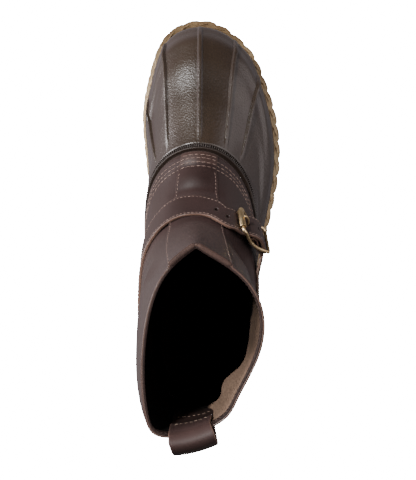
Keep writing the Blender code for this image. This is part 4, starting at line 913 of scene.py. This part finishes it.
def stitch_shape(t):
    """One stitch, bowed up between its ends, which dip into the leather."""
    x = (t - 0.5) * STITCH_LONG
    bow = math.sqrt(max(1.0 - abs(2.0 * t - 1.0) ** 3.0, 0.0)) * 0.85 + 0.15
    sink = -0.5 * THREAD * (2.0 * t - 1.0) ** 4
    return x, 0.0, sink, THREAD * bow, 0.85 * THREAD * bow, 0.0, (0, 0)


def fine_shape(t):
    """The same stitch, shorter and thinner."""
    x, y, z, wide, tall, ripple, phase = stitch_shape(t)
    return x * 0.66, y, z, wide * 0.85, tall * 0.85, ripple, phase


def thread(name, dark, light, rough):
    """Finish of waxed thread."""
    return finish(name, dark, light, rough, (3000.0, 260.0, 0.2), (0.2, 0.0002))


thread_look = thread("waxed_tan_thread", (0.125, 0.080, 0.066), (0.235, 0.162, 0.134), 0.7)


def spot(share_at, q):
    """One point of the skin and its outward direction."""
    p = np.array([share_at])
    return skin(p, q)[0], normals(p, q)[0]


def above_edge(distance, shares):
    """Line on the leather at one distance up the skin from its lower edge."""
    qs = np.linspace(Q["leather_edge"], Q["strap_low"], 24)
    stack = np.array([skin(shares, q) for q in qs])
    run = np.concatenate([np.zeros((1, len(shares))),
                          np.cumsum(np.linalg.norm(np.diff(stack, axis=0), axis=2), axis=0)])
    points = []
    outs = []
    for k in range(len(shares)):
        q = float(np.interp(distance, run[:, k], qs))
        right, left = panel_edges(q)
        inside = max(right - shares[k], shares[k] - left) * ring(q)[2]
        base, n = spot(shares[k], q)
        points.append(base + n * (PANEL_STEP * float(smooth(inside / 0.5 + 0.5)) + 0.1))
        outs.append(n)
    return np.array(points), np.array(outs)


stitch = rod("stitch", 7, 7, stitch_shape)
fine_stitch = rod("fine_stitch", 6, 6, fine_shape)
sewn = []
around = np.arange(180) / 180.0
for distance in FLANGE_ROWS:
    points, outs = above_edge(distance, around)
    sewn.append((points, outs, True))
right0, left0 = panel_edges(Q["leather_edge"])
tab = np.linspace(left0 - 1.0 + 0.006, right0 - 0.006, 24)
points, outs = above_edge(PANEL_ROW, np.mod(tab, 1.0))
sewn.append((points, outs, False))
stitches = repeat("flange_stitching", stitch, SEW_PITCH, sewn, thread_look, loose=0.06, swing=0.06)
sewn = []
for side in (0, 1):
    points = []
    outs = []
    for q in np.linspace(FLANGE_Q + 0.006, 0.985, 70):
        inset = (-SEAM_INSET if side == 0 else SEAM_INSET) / ring(q)[2]
        base, n = spot(panel_edges(q)[side] + inset, q)
        points.append(base + n * (PANEL_STEP + 0.05))
        outs.append(n)
    outs = np.array(outs)
    sewn.append((crease(np.array(points), outs, LEATHER_FOLDS), outs, False))
around = np.arange(240) / 240.0
collar_q = below_collar(COLLAR_ROW)
ins = -normals(around, collar_q)
seams = repeat("panel_stitching", fine_stitch, SEAM_PITCH, sewn, thread_look, loose=0.05, swing=0.05)
rim_line = [(skin(around, collar_q) + ins * (LEATHER_WALL + FACING_STEP + 0.05), ins, True)]
dark_thread = thread("waxed_brown_thread", (0.030, 0.018, 0.014), (0.055, 0.034, 0.027), 0.7)
rim_seam = repeat("collar_stitching", fine_stitch, SEAM_PITCH, rim_line, dark_thread, loose=0.05,
                  swing=0.05)
for ob in (stitches, seams, rim_seam):
    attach(ob, "root")


# Peak binding. The front panel's top is turned over its edge and sewn down, so a
# thicker, lighter fold of leather runs from seam to seam with a small notch at the peak.

BINDING_DEEP = 3.4
# The fold's section: depth below the collar and distance outward.
BINDING_SECTION = (
    (0.2, -2.2), (-0.55, -1.9), (-0.75, -1.0), (-0.6, 0.2), (-0.1, 1.0), (0.9, 1.3),
    (BINDING_DEEP - 0.5, 1.25), (BINDING_DEEP, 0.95), (BINDING_DEEP, 0.4), (1.0, 0.2),
    (0.3, -0.6), (0.5, -1.8),
)
right1, left1 = panel_edges(1.0)
for name, start, stop in (("binding_inner", left1 - 1.0 + 0.004, -0.0035),
                          ("binding_outer", 0.0035, right1 - 0.004)):
    loops = []
    span = np.linspace(start, stop, 40)
    for k, share_at in enumerate(span):
        near_end = min(k, len(span) - 1 - k)
        plump = 0.55 + 0.45 * float(smooth(near_end / 3.0))
        section = []
        for depth, out in BINDING_SECTION:
            base, n = spot(share_at, below_collar(max(depth, 0.0)))
            point = base + n * (PANEL_STEP * 0.3 + out * plump)
            point[2] -= min(depth, 0.0) * plump
            section.append(point)
        loops.append(place(np.array(section)))
    binding = shell(name, loops, joined=False)
    binding.data.materials.append(finish(
        name + "_leather", (0.030, 0.0165, 0.0130), (0.056, 0.032, 0.0255), 0.75,
        (1800.0, 90.0, 0.5), (0.25, 0.0003), specular=0.2))
    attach(binding, "root")


# Insole. A thin board cut to the last, cemented inside, with a black cloth sock lining
# over it that reaches the walls. Only its dark top can be seen down the shaft.

SOCK_GAP = 0.2
# The lining's section: share of the way from the wall to the middle, and height.
SOCK_SECTION = ((0.0, 3.5), (0.0, 4.3), (0.08, 4.5), (0.97, 4.5), (0.97, 3.7), (0.08, 3.5))
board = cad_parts["insole"]
sock_look = finish("dark_insole_cloth", (0.006, 0.005, 0.0045), (0.010, 0.008, 0.007), 0.95,
                   (1300.0, 70.0, 0.2), (0.3, 0.0004), specular=0.1)
board.data.materials.clear()
board.data.materials.append(sock_look)
shares = np.arange(160) / 160.0
sock_q = Q["bulge"] * 0.5
wall_line = skin(shares, sock_q) - normals(shares, sock_q) * (RUBBER_WALL + SOCK_GAP)
axis = wall_line.copy()
axis[:, 0] = np.clip(axis[:, 0], -1.0, 1.0)
axis[:, 1] = np.clip(axis[:, 1], 34.0, 262.0)
loops = []
for toward, rise in SOCK_SECTION:
    ring_line = wall_line + (axis - wall_line) * toward
    ring_line[:, 2] = seat(ring_line[:, 1]) + rise
    loops.append(place(ring_line))
sock = shell("sock_lining", loops)
sock.data.materials.append(sock_look)
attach(sock, "root")


# Instep strap. One belt of the same leather, edge-stitched in tan thread and punched
# with five holes, sewn to the shaft's inner side and led through the buckle outside.

STRAP_WIDTH = 19.5
STRAP_THICK = 2.6
EDGE_ROUND = 0.55
HOLE_SIZE = 3.2
HOLE_PITCH = 9.3
PIERCED_AT = 8.8
LAID_GAP = 0.15
BELT_PITCH = 2.8
ROLLER_MID = np.array([30.7, 145.0, 111.2])
END_MID = np.array([49.6, 128.6, 89.0])
BAR_AXIS = np.array([0.14, -0.77, 0.62])
# Points the strap is laid over, then its free part: x from the roller bar and height.
LONG_TARGETS = (
    (-43.0, 66.0, 96.0), (-43.0, 82.0, 96.5), (-42.0, 100.0, 97.5), (-39.5, 120.0, 99.5),
    (-34.0, 136.0, 102.5), (-25.0, 146.5, 106.5), (-13.0, 153.0, 109.8), (0.0, 154.3, 111.0),
    (8.0, 153.6, 110.8),
)
LONG_FREE = (
    (-9.5, -6.0), (-3.5, -3.2), (0.0, -2.9), (4.5, -2.2), (8.8, 0.4), (13.0, 2.6),
    (17.5, 3.6), (22.0, 2.9), (28.0, 0.1), (33.2, -1.9), (38.0, -2.6),
)


def unit(v):
    """The same direction with length one."""
    v = np.asarray(v, dtype=float)
    return v / np.linalg.norm(v)


FRAME_LONG = float(np.linalg.norm(END_MID - ROLLER_MID))
FRAME_D = unit(END_MID - ROLLER_MID)
FRAME_R = unit(BAR_AXIS - np.dot(BAR_AXIS, FRAME_D) * FRAME_D)
FRAME_N = unit(np.cross(FRAME_R, FRAME_D))
if FRAME_N[0] < 0.0:
    FRAME_N = -FRAME_N


def framed(x, y, h):
    """Point at x from the roller bar, y along the bars and h outward of the buckle."""
    return ROLLER_MID + FRAME_D * x + FRAME_R * y + FRAME_N * h


GRID_COLUMNS = 400
GRID_Q = np.linspace(Q["leather_edge"], 1.0, 90)
GRID_P = np.arange(GRID_COLUMNS) / GRID_COLUMNS
GRID = np.array([skin(GRID_P, q) for q in GRID_Q])


def nearest(target):
    """Share and ring of the leather's skin closest to a point."""
    d = np.linalg.norm(GRID - target, axis=2)
    i, j = np.unravel_index(np.argmin(d), d.shape)
    best = (d[i, j], GRID_P[j], GRID_Q[i])
    dq = GRID_Q[1] - GRID_Q[0]
    dp = 1.0 / GRID_COLUMNS
    for _ in range(3):
        ps = best[1] + dp * np.linspace(-1.0, 1.0, 9)
        for q in np.clip(best[2] + dq * np.linspace(-1.0, 1.0, 9), GRID_Q[0], 1.0):
            share, points, _ = ring_points(row_at(q))
            round_at = np.mod(ps, 1.0)
            spots = np.stack([np.interp(round_at, share, points[:, k]) for k in range(3)], axis=1)
            dist = np.linalg.norm(spots - target, axis=1)
            m = int(np.argmin(dist))
            if dist[m] < best[0]:
                best = (dist[m], ps[m], q)
        dq /= 5.0
        dp /= 5.0
    return best[1], best[2]


def on_skin(target, gap):
    """A target laid on the leather with a gap, and the leather's outward direction there."""
    p, q = nearest(target)
    base, n = spot(p, q)
    right, left = panel_edges(q)
    share_in = p % 1.0
    beyond = (share_in - right if share_in < 0.5 else left - share_in) * ring(q)[2]
    lift = PANEL_STEP * (1.0 - float(smooth(beyond / 15.0)))
    return base + n * (gap + lift), n


def curve_through(rows, count):
    """Smooth line through rows whose first three numbers are a point, at even steps."""
    pts = np.array(rows, dtype=float)
    ends = np.concatenate([[2.0 * pts[0] - pts[1]], pts, [2.0 * pts[-1] - pts[-2]]])
    out = []
    for i in range(len(pts) - 1):
        a, b, c, d = ends[i:i + 4]
        for t in np.linspace(0.0, 1.0, 24, endpoint=False):
            out.append(0.5 * (2 * b + (c - a) * t + (2 * a - 5 * b + 4 * c - d) * t ** 2
                              + (3 * b - a - 3 * c + d) * t ** 3))
    out.append(pts[-1])
    out = np.array(out)
    dist = running(out[:, :3])
    at = np.linspace(0.0, dist[-1], count)
    return np.stack([np.interp(at, dist, out[:, k]) for k in range(out.shape[1])], axis=1)


def lay(targets, count):
    """Smooth line through targets laid on the leather, and its outward directions."""
    laid = [on_skin(point, LAID_GAP) for point in curve_through(targets, count)]
    return np.array([x[0] for x in laid]), np.array([x[1] for x in laid])


def lead_off(laid, lead, count):
    """Smooth line from the end of a laid line through the points of lead."""
    line = curve_through([laid[-2], laid[-1]] + lead, count)
    return line[int(np.argmin(np.linalg.norm(line - laid[-1], axis=1))) + 1:]


def strap_frames(centres, outs):
    """Width and outward directions square to the strap's line."""
    tangent = units(np.gradient(centres, axis=0))
    sides = units(np.cross(outs, tangent))
    return sides, np.cross(tangent, sides)


def turn_to_bars(sides, laid, span, last):
    """Turns the width directions to the buckle's bars over a span of sections after the laid
    ones; the section numbered last tells which way round they point."""
    bars = np.clip((np.arange(len(sides)) - laid) / span, 0.0, 1.0)[:, None]
    flip = np.sign(np.sum(sides[last] * FRAME_R))
    return units(sides * (1.0 - bars) + FRAME_R[None, :] * flip * bars)


def under_side(centres, sides, half, laid):
    """Five points across each section's underside; the first sections lie on the leather."""
    out = []
    for k, (c, w) in enumerate(zip(centres, sides)):
        low = c[None, :] + w[None, :] * (np.linspace(-1.0, 1.0, 5) * half)[:, None]
        fade = 1.0 - float(smooth((k - laid + 4.0) / 4.0))
        if fade > 0.0:
            fixed = np.array([on_skin(point, LAID_GAP)[0] for point in low])
            low = low + (fixed - low) * fade
        out.append(low)
    return np.array(out)


def belt(name, low, outs, half, thick, count, tip=0.0, tail=0.0):
    """Strap with soft edges over its underside points; tip and tail round its ends.
    Returns the piece, a function for lines on its outer face, its underside's middle line,
    outward directions and running length."""
    rows = np.concatenate([low[:, 2], outs, low.reshape(len(low), 15)], axis=1)
    fine = curve_through(rows, count)
    centre = fine[:, :3]
    out = units(fine[:, 3:6])
    grid = fine[:, 6:].reshape(count, 5, 3)
    fit = np.linalg.inv(np.vander(np.linspace(-1.0, 1.0, 5), 5))
    run = running(centre)

    def at(k, f, t):
        """Points of section k at shares f of its half width and t of its thickness."""
        f = np.atleast_1d(f)
        return (np.vander(f, 5) @ fit) @ grid[k] + out[k] * thick * np.atleast_1d(t)[:, None]

    e = EDGE_ROUND / half
    across = np.linspace(-1.0 + 2.0 * e, 1.0 - 2.0 * e, 15)
    corner = np.array([1.0 - e, 1.0 - 0.25 * e, 1.0, 1.0, 1.0 - 0.25 * e, 1.0 - e])
    climb = np.array([0.02, 0.1, 0.3, 0.7, 0.9, 0.98])
    f = np.concatenate([across, corner, across[::-1], -corner])
    t = np.concatenate([np.zeros(15), climb, np.ones(15), climb[::-1]])
    mark = np.where(np.abs(f) > 1.0 - 0.7 * e, 1.0, 0.0)
    mark = np.where((np.abs(f) > 1.0 - 1.2 * e) & (mark < 0.5), 0.4, mark)
    loops = []
    marks = []
    for k in range(count):
        scale = 1.0
        for reach, gone in ((tip, run[-1] - run[k]), (tail, run[k])):
            if reach > 0.0 and gone < reach:
                scale = min(scale, math.sqrt(max(1.0 - (1.0 - gone / reach) ** 2, 0.02)))
        loops.append(place(at(k, f * scale, t)))
        marks.append(np.clip(mark + (1.0 if k in (0, count - 1) else 0.0), 0.0, 1.0))
    piece = shell(name, loops, joined=False, marks={"worn": marks})
    piece.data.materials.append(leather_look)

    def face_line(inset, start, stop, side):
        """Line on the outer face, inset from one edge, with its outward directions."""
        keys = [k for k in range(count) if start <= run[k] <= run[-1] - stop]
        frac = side * (1.0 - inset / half)
        return (np.array([at(k, frac, 1.0)[0] + out[k] * 0.05 for k in keys]), out[keys], False)

    return piece, face_line, centre, out, run


def combine(ob, tool, operation="DIFFERENCE"):
    """Takes one solid out of another, or joins it with UNION, and removes the tool."""
    mod = ob.modifiers.new("combine", "BOOLEAN")
    mod.solver = "EXACT"
    mod.operation = operation
    mod.object = tool
    mesh = evaluated(ob)
    ob.modifiers.clear()
    ob.data = mesh
    bpy.data.objects.remove(tool)


def wire(name, points, radius, closed=False, sides=4):
    """Round wire through points in millimetres, as a plain mesh with closed ends."""
    curve = bpy.data.curves.new(name, "CURVE")
    curve.dimensions = "3D"
    curve.bevel_depth = radius * 0.001
    curve.bevel_resolution = sides
    curve.use_fill_caps = not closed
    spline = curve.splines.new("POLY")
    spline.points.add(len(points) - 1)
    for target, p in zip(spline.points, place(np.array(points))):
        target.co = (*p, 1.0)
    spline.use_cyclic_u = closed
    ob = add(name, curve)
    mesh = evaluated(ob)
    bpy.data.objects.remove(ob)
    face_outward(mesh, 0.00001)
    mesh.shade_smooth()
    mesh.materials.clear()
    return add(name, mesh)


laid_points, laid_outs = lay(LONG_TARGETS, 20)
free = lead_off(laid_points, [framed(x, 0.0, h - STRAP_THICK) for x, h in LONG_FREE], 26)
blend = np.clip(np.linspace(0.1, 3.0, len(free)), 0.0, 1.0)[:, None]
free_outs = laid_outs[-1][None, :] * (1.0 - blend) + FRAME_N[None, :] * blend
centres = np.concatenate([laid_points, free])
sides, outs = strap_frames(centres, np.concatenate([laid_outs, free_outs]))
sides = turn_to_bars(sides, len(laid_points), 5.0, -1)
outs = units(np.cross(np.gradient(centres, axis=0), sides))
low = under_side(centres, sides, 0.5 * STRAP_WIDTH, len(laid_points))
# Smooths the strap where it leaves the leather.
ease = np.exp(-((np.arange(len(low)) - len(laid_points)) / 3.0) ** 2)[1:-1, None, None]
for _ in range(8):
    low[1:-1] += 0.5 * ease * (0.5 * (low[:-2] + low[2:]) - low[1:-1])
strap, strap_face, mid, out, run = belt("instep_strap", low, outs, 0.5 * STRAP_WIDTH, STRAP_THICK,
                                        count=150, tip=7.0)
pierced = run[int(np.argmin(np.linalg.norm(mid - framed(PIERCED_AT, 0.0, -STRAP_THICK), axis=1)))]
for k in (-3, -2, -1, 0, 1):
    hole_at = pierced + k * HOLE_PITCH
    c = np.array([np.interp(hole_at, run, mid[:, i]) for i in range(3)])
    n = unit([np.interp(hole_at, run, out[:, i]) for i in range(3)])
    combine(strap, wire("punch", [c - n * 1.0, c + n * (STRAP_THICK + 2.0)], 0.5 * HOLE_SIZE))
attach(strap, "root")
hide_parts("strap_long")
sewn = [strap_face(inset=1.7, start=4.0, stop=7.0, side=side) for side in (-1.0, 1.0)]
belt_thread = repeat("strap_stitching", fine_stitch, BELT_PITCH, sewn, thread_look, loose=0.05,
                     swing=0.06)
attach(belt_thread, "root")


# Buckle strap. The short strap is sewn to the outer side, slotted for the prong, and
# folded back round the buckle's middle bar.

SHORT_THICK = 1.9
WIRE = 2.5
SAG = -2.8
BAR_RADIUS = 0.42 * WIRE
BAR_AT = 0.5 * FRAME_LONG
PRONG_SIZE = 2.0
SHORT_TARGETS = (
    (41.5, 68.0, 89.0), (41.5, 80.0, 87.5), (42.0, 92.0, 85.0), (42.5, 101.0, 83.5),
    (42.6, 106.0, 83.0),
)
SHORT_HALF = 0.5 * STRAP_WIDTH - 1.0
laid_points, laid_outs = lay(SHORT_TARGETS, 9)
# How far the strap's underside lies from the middle of the bar where it goes round it.
wrap = BAR_RADIUS + 0.25 + SHORT_THICK
lead = [np.array([44.0, 113.5, 83.0]), framed(FRAME_LONG + 4.0, 0.0, -8.2),
        framed(FRAME_LONG - 3.0, 0.0, -7.0), framed(BAR_AT + 7.0, 0.0, SAG - wrap - 0.2),
        framed(BAR_AT + 2.0, 0.0, SAG - wrap)]
rows_free = list(lead_off(laid_points, lead, 13))
count_free = len(rows_free)
turned = smooth(np.linspace(0.1, 1.2, count_free))
outs_free = [unit(laid_outs[-1] * (1.0 - t) + FRAME_N * t) for t in turned]
for k in range(7):
    a = math.radians(30.0 * k)
    aim = -FRAME_N * math.cos(a) - FRAME_D * math.sin(a)
    rows_free.append(framed(BAR_AT, 0.0, SAG) + aim * wrap)
    outs_free.append(-aim)
for x, h in ((2.5, wrap - 0.25), (5.0, wrap - 1.4), (7.5, wrap - 2.6)):
    rows_free.append(framed(BAR_AT + x, 0.0, SAG + h))
    outs_free.append(-FRAME_N)
centres = np.concatenate([laid_points, np.array(rows_free)])
given = np.concatenate([laid_outs, np.array(outs_free)])
sides, square = strap_frames(centres, given)
last = len(laid_points) + count_free - 2
sides = turn_to_bars(sides, len(laid_points), float(count_free), last)
fold = np.arange(len(centres)) >= len(laid_points) + count_free
square[fold] = given[fold]
low = under_side(centres, sides, SHORT_HALF, len(laid_points))
short, short_face, _, _, _ = belt("buckle_strap", low, square, SHORT_HALF, SHORT_THICK, count=120)
room = 0.5 * PRONG_SIZE + 0.7
slot_loops = []
slot_plan = ((-6.0, -room), (4.6, -room), (4.6, room), (-6.0, room))
for h in (SAG - wrap - 2.0, SAG + wrap + 2.0):
    slot_loops.append(place(np.array([framed(BAR_AT + x, y, h) for x, y in slot_plan])))
combine(short, shell("slot", slot_loops, joined=False))
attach(short, "root")
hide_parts("strap_short")
sewn = [short_face(inset=1.6, start=3.0, stop=16.0, side=side) for side in (-1.0, 1.0)]
short_thread = repeat("buckle_strap_stitching", fine_stitch, BELT_PITCH, sewn, thread_look,
                      loose=0.05, swing=0.06)
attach(short_thread, "root")


# Buckle. A dished frame of cast antique brass with a middle bar, a loose roller on its
# front bar, and a wire prong hooked round the middle bar and resting on the roller.

FRAME_HALF = 0.5 * STRAP_WIDTH + 0.4 + 0.5 * WIRE
ROLLER_SIZE = 5.0
CORNER = 3.0
brass_look = finish("antique_brass_cast", (0.48, 0.33, 0.16), (0.90, 0.71, 0.43), 0.32,
                    (700.0, 190.0, 0.35), (0.35, 0.0005), metallic=1.0, rough_swing=0.12)
# Half of the frame: front corner, bowed side, back corner.
quarter = [math.radians(11.25 * k) for k in range(9)]
straight = FRAME_HALF - CORNER
path = [(CORNER - CORNER * math.cos(a), straight + CORNER * math.sin(a), 0.0) for a in quarter]
for t in np.linspace(0.0, 1.0, 22)[1:-1]:
    swell = math.sin(math.pi * t)
    path.append((CORNER + (FRAME_LONG - 2.0 * CORNER) * t, FRAME_HALF + swell, SAG * swell))
for a in quarter:
    path.append((FRAME_LONG - CORNER + CORNER * math.sin(a), straight + CORNER * math.cos(a), 0.0))
ringed = [framed(x, y, h) for x, y, h in path] + [framed(x, -y, h) for x, y, h in reversed(path)]
buckle = wire("buckle_frame_brass", ringed, 0.5 * WIRE, closed=True)
bar_ends = [framed(BAR_AT, y, SAG) for y in (-FRAME_HALF - 0.8, FRAME_HALF + 0.8)]
combine(buckle, wire("middle_bar", bar_ends, BAR_RADIUS), "UNION")
half = FRAME_HALF - 3.6
bore = 0.5 * WIRE + FIT_GAP
outer = 0.5 * ROLLER_SIZE
loops = []
for y, radius in ((-half, outer - 0.4), (-half + 0.15, outer - 0.12), (-half + 0.45, outer),
                  (half - 0.45, outer), (half - 0.15, outer - 0.12), (half, outer - 0.4),
                  (half, bore + 0.2), (half - 0.2, bore), (-half + 0.2, bore), (-half, bore + 0.2)):
    circle = np.arange(36) * 2.0 * math.pi / 36
    spots = [framed(radius * math.cos(a), y, radius * math.sin(a)) for a in circle]
    loops.append(place(np.array(spots)))
roller = shell("buckle_roller_brass", loops)
roller.data.set_sharp_from_angle(angle=math.radians(30.0))
# The prong's hook round the middle bar, then its way to the roller, where its tip rests.
turn = BAR_RADIUS + FIT_GAP + 0.5 * PRONG_SIZE
path = []
for k in range(19):
    a = math.radians(-10.0 + 13.5 * k)
    path.append(framed(BAR_AT + turn * math.cos(a), 0.0, SAG + turn * math.sin(a)))
rest = 0.5 * ROLLER_SIZE + 0.5 * PRONG_SIZE + 0.25
for x, h in ((BAR_AT - turn - 1.2, SAG - 0.3), (11.6, SAG - 0.2), (9.6, -2.0), (7.6, 0.2), (5.6, 1.9),
             (3.2, rest - 0.5), (0.8, rest), (-1.2, rest - 0.15)):
    path.append(framed(x, 0.0, h))
prong = wire("buckle_prong_brass", curve_through(path, 70), 0.5 * PRONG_SIZE)
for ob, node in ((buckle, "buckle_frame"), (roller, "buckle_roller"), (prong, "buckle_prong")):
    if ob is not roller:
        ob.data.shade_smooth()
    ob.data.materials.clear()
    ob.data.materials.append(brass_look)
    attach(ob, "root")
    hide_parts(node)


# Pull loop. A strip of leather folded over the back of the collar and sewn through it
# on both sides, so it stands up as a soft loop that leans out over the heel.

LOOP_WIDTH = 30.0
LOOP_THICK = 1.7
LOOP_RISE = 13.0
LOOP_BULGE = 10.5
LOOP_MID = -4.5
UP = np.array([0.0, 0.0, 1.0])
inside = -(LEATHER_WALL + FACING_STEP + FIT_GAP + 0.5 * LOOP_THICK)
outside = FIT_GAP + 0.5 * LOOP_THICK
# Side line of the folded strip: distance outward of the leather and height over the collar.
LOOP_SIDE = (
    (inside, -24.0), (inside, -14.0), (inside, -5.0), (inside + 0.1, 2.0), (inside + 1.2, 8.0),
    (inside + 4.4, LOOP_RISE - 0.8), (outside + 2.6, LOOP_RISE), (outside + 6.4, LOOP_RISE - 3.0),
    (LOOP_BULGE - 0.3, 4.0), (LOOP_BULGE, -1.5), (LOOP_BULGE - 2.4, -7.5), (outside + 3.2, -13.0),
    (outside + 0.4, -19.0), (outside, -27.0),
)
line = curve_through([(v, h, 0.0) for v, h in LOOP_SIDE], 84)
share, points, _ = ring(1.0)
window = slice(int(ROUND * 0.42), int(ROUND * 0.58))
middle = float(np.interp(-LOOP_MID, -points[window, 0], share[window]))
reach = 0.5 * LOOP_WIDTH / ring(1.0)[2]
slope = units(np.gradient(line[:, :2], axis=0))
lean = unit((0.30, -0.95, 0.0))
e = EDGE_ROUND / (0.5 * LOOP_WIDTH)
flat = np.linspace(-1.0 + 1.5 * e, 1.0 - 1.5 * e, 17)
across = np.concatenate([[-1.0, -1.0 + 0.4 * e], flat, [1.0 - 0.4 * e, 1.0]])
bulk = np.concatenate([[0.45, 0.85], np.ones(17), [0.85, 0.45]])
loops = []
marks = []
faces_in = []
for (v, h, _), (dv, dh) in zip(line, slope):
    q = below_collar(max(-h, 0.0))
    shares = middle + across * reach
    base = skin(shares, q)
    out = units(normals(shares, q) * np.array([1.0, 1.0, 0.0]))
    near = min(max(v, inside), outside)
    loose = np.clip((v - near) / 3.0, 0.0, 1.0)
    aim = units(out * (1.0 - loose) + lean * loose)
    centre = base + out * near + lean * (v - near)
    centre[:, 2] = base[:, 2] + max(h, 0.0)
    thick = (aim * dh - UP * dv) * 0.5 * LOOP_THICK * bulk[:, None]
    loops.append(place(np.concatenate([centre + thick, (centre - thick)[::-1]])))
    mark = np.where(np.abs(across) > 1.0 - 0.6 * e, 0.8, 0.0)
    marks.append(np.concatenate([mark, mark]))
    faces_in.append((centre - thick * 1.02, -aim * dh + UP * dv))
loop = shell("collar_pull_loop", loops, joined=False, marks={"worn": marks})
loop.data.materials.append(finish(
    "pull_loop_leather", (0.025, 0.0125, 0.0105), (0.042, 0.0215, 0.0185), 0.62,
    (2300.0, 34.0, 0.65), (0.2, 0.00025), specular=0.4, edge=WORN_EDGE, rough_swing=0.05))
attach(loop, "root")
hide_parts("pull_loop")
row = int(np.argmin(np.abs(line[:, 1] + 21.0) + 100.0 * (line[:, 0] > 0.0)))
sewn = [(faces_in[row][0][4:-4], faces_in[row][1][4:-4], False)]
# A strip of facing leather covers the back seam inside; its colour fades to near-black
# further down, as painted shade.
loops = []
fade = []
for q in np.linspace(facing_q - 0.002, Q["ankle"], 30):
    shares = middle + across * reach
    wall_points = skin(shares, q)
    ins = normals(shares, q)
    deep = COLLAR_HEIGHT - float(np.mean(wall_points[:, 2]))
    low_face = wall_points - ins * (LEATHER_WALL - 0.2)
    top_face = wall_points - ins * (LEATHER_WALL + 1.1 * bulk)[:, None]
    loops.append(place(np.concatenate([low_face, top_face[::-1]])))
    # Painted shade: the strip turns near-black from about 55 mm below the collar.
    fade.append(np.full(2 * len(across), float(smooth((deep - 55.0) / 25.0))))
    if abs(deep - 56.0) < 1.8 and len(sewn) < 2:
        sewn.append((top_face[4:-4] - ins[4:-4] * 0.1, -ins[4:-4], False))
strip = shell("inner_back_strip", loops, joined=False, marks={"lining_shade": fade})
strip.data.materials.append(facing_look)
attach(strip, "root")
cream_thread = thread("waxed_cream_thread", (0.26, 0.19, 0.14), (0.46, 0.36, 0.27), 0.6)
loop_thread = repeat("pull_loop_stitching", fine_stitch, 3.2, sewn, cream_thread, swing=0.05)
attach(loop_thread, "root")
for ob in (stitch, fine_stitch):
    bpy.data.objects.remove(ob)


# Studio. The boot stands on white paper, lit by a soft box over the toe, one at the inner
# side and two at the outer side. The camera looks straight down as in the photograph.

floor_mesh = bpy.data.meshes.new("floor")
floor_mesh.from_pydata([(-4, -4, 0), (4, -4, 0), (4, 4, 0), (-4, 4, 0)], [], [(0, 1, 2, 3)])
floor = add("floor", floor_mesh)
paper = bpy.data.materials.new("white_paper")
paper.use_nodes = True
paper_tree = paper.node_tree
diffuse = paper_tree.nodes["Principled BSDF"]
diffuse.inputs["Base Color"].default_value = (0.12, 0.116, 0.116, 1.0)
diffuse.inputs["Roughness"].default_value = 0.9
seen = new_node(paper_tree, "ShaderNodeLightPath")
glow = new_node(paper_tree, "ShaderNodeEmission", [("Strength", 30.0)])
both = new_node(paper_tree, "ShaderNodeMixShader")
link_all(paper_tree, (seen, "Is Camera Ray", both, 0), (diffuse, 0, both, 1), (glow, 0, both, 2),
         (both, 0, paper_tree.nodes["Material Output"], 0))
floor_mesh.materials.append(paper)

world = bpy.data.worlds.new("studio")
bpy.context.scene.world = world
world.use_nodes = True
sky = world.node_tree.nodes["Background"]
sky.inputs["Color"].default_value = (1.0, 1.0, 1.0, 1.0)
sky.inputs["Strength"].default_value = 0.08


def soft_box(name, stand, aim, size, power, colour=(1.0, 1.0, 1.0)):
    """Rectangular area light at stand, facing aim, with its size in metres and watts."""
    data = bpy.data.lights.new(name, "AREA")
    data.shape = "RECTANGLE"
    data.size = size[0]
    data.size_y = size[1]
    data.energy = power
    data.color = colour
    ob = add(name, data)
    ob.location = stand
    ob.rotation_euler = (Vector(aim) - Vector(stand)).to_track_quat("-Z", "Y").to_euler()


soft_box("toe_light", (0.67, -0.80, 1.48), (0.0, -0.2, 0.08), (0.12, 0.2), 36.0)
soft_box("inner_side_light", (1.45, -0.35, 0.65), (0.0, -0.12, 0.08), (0.7, 0.9), 48.0, (1.0, 0.94, 0.95))
soft_box("outer_side_light", (-1.6, -0.3, 0.9), (0.0, -0.1, 0.08), (2.0, 1.8), 16.0, (1.0, 0.92, 0.95))
soft_box("outer_top_light", (-0.85, -0.25, 1.3), (0.0, -0.12, 0.05), (0.9, 1.5), 7.5, (1.0, 0.95, 0.95))

# A 114 mm lens 1.2 m above the floor, over the middle of the foot.
camera_data = bpy.data.cameras.new("camera")
camera_data.sensor_fit = "VERTICAL"
camera_data.sensor_height = 36.0
camera_data.lens = 114.08
camera = add("camera", camera_data)
camera.location = (-0.0065, -0.090, 1.2)
camera.rotation_euler = (0.0, 0.0, math.pi)
bpy.context.scene.camera = camera
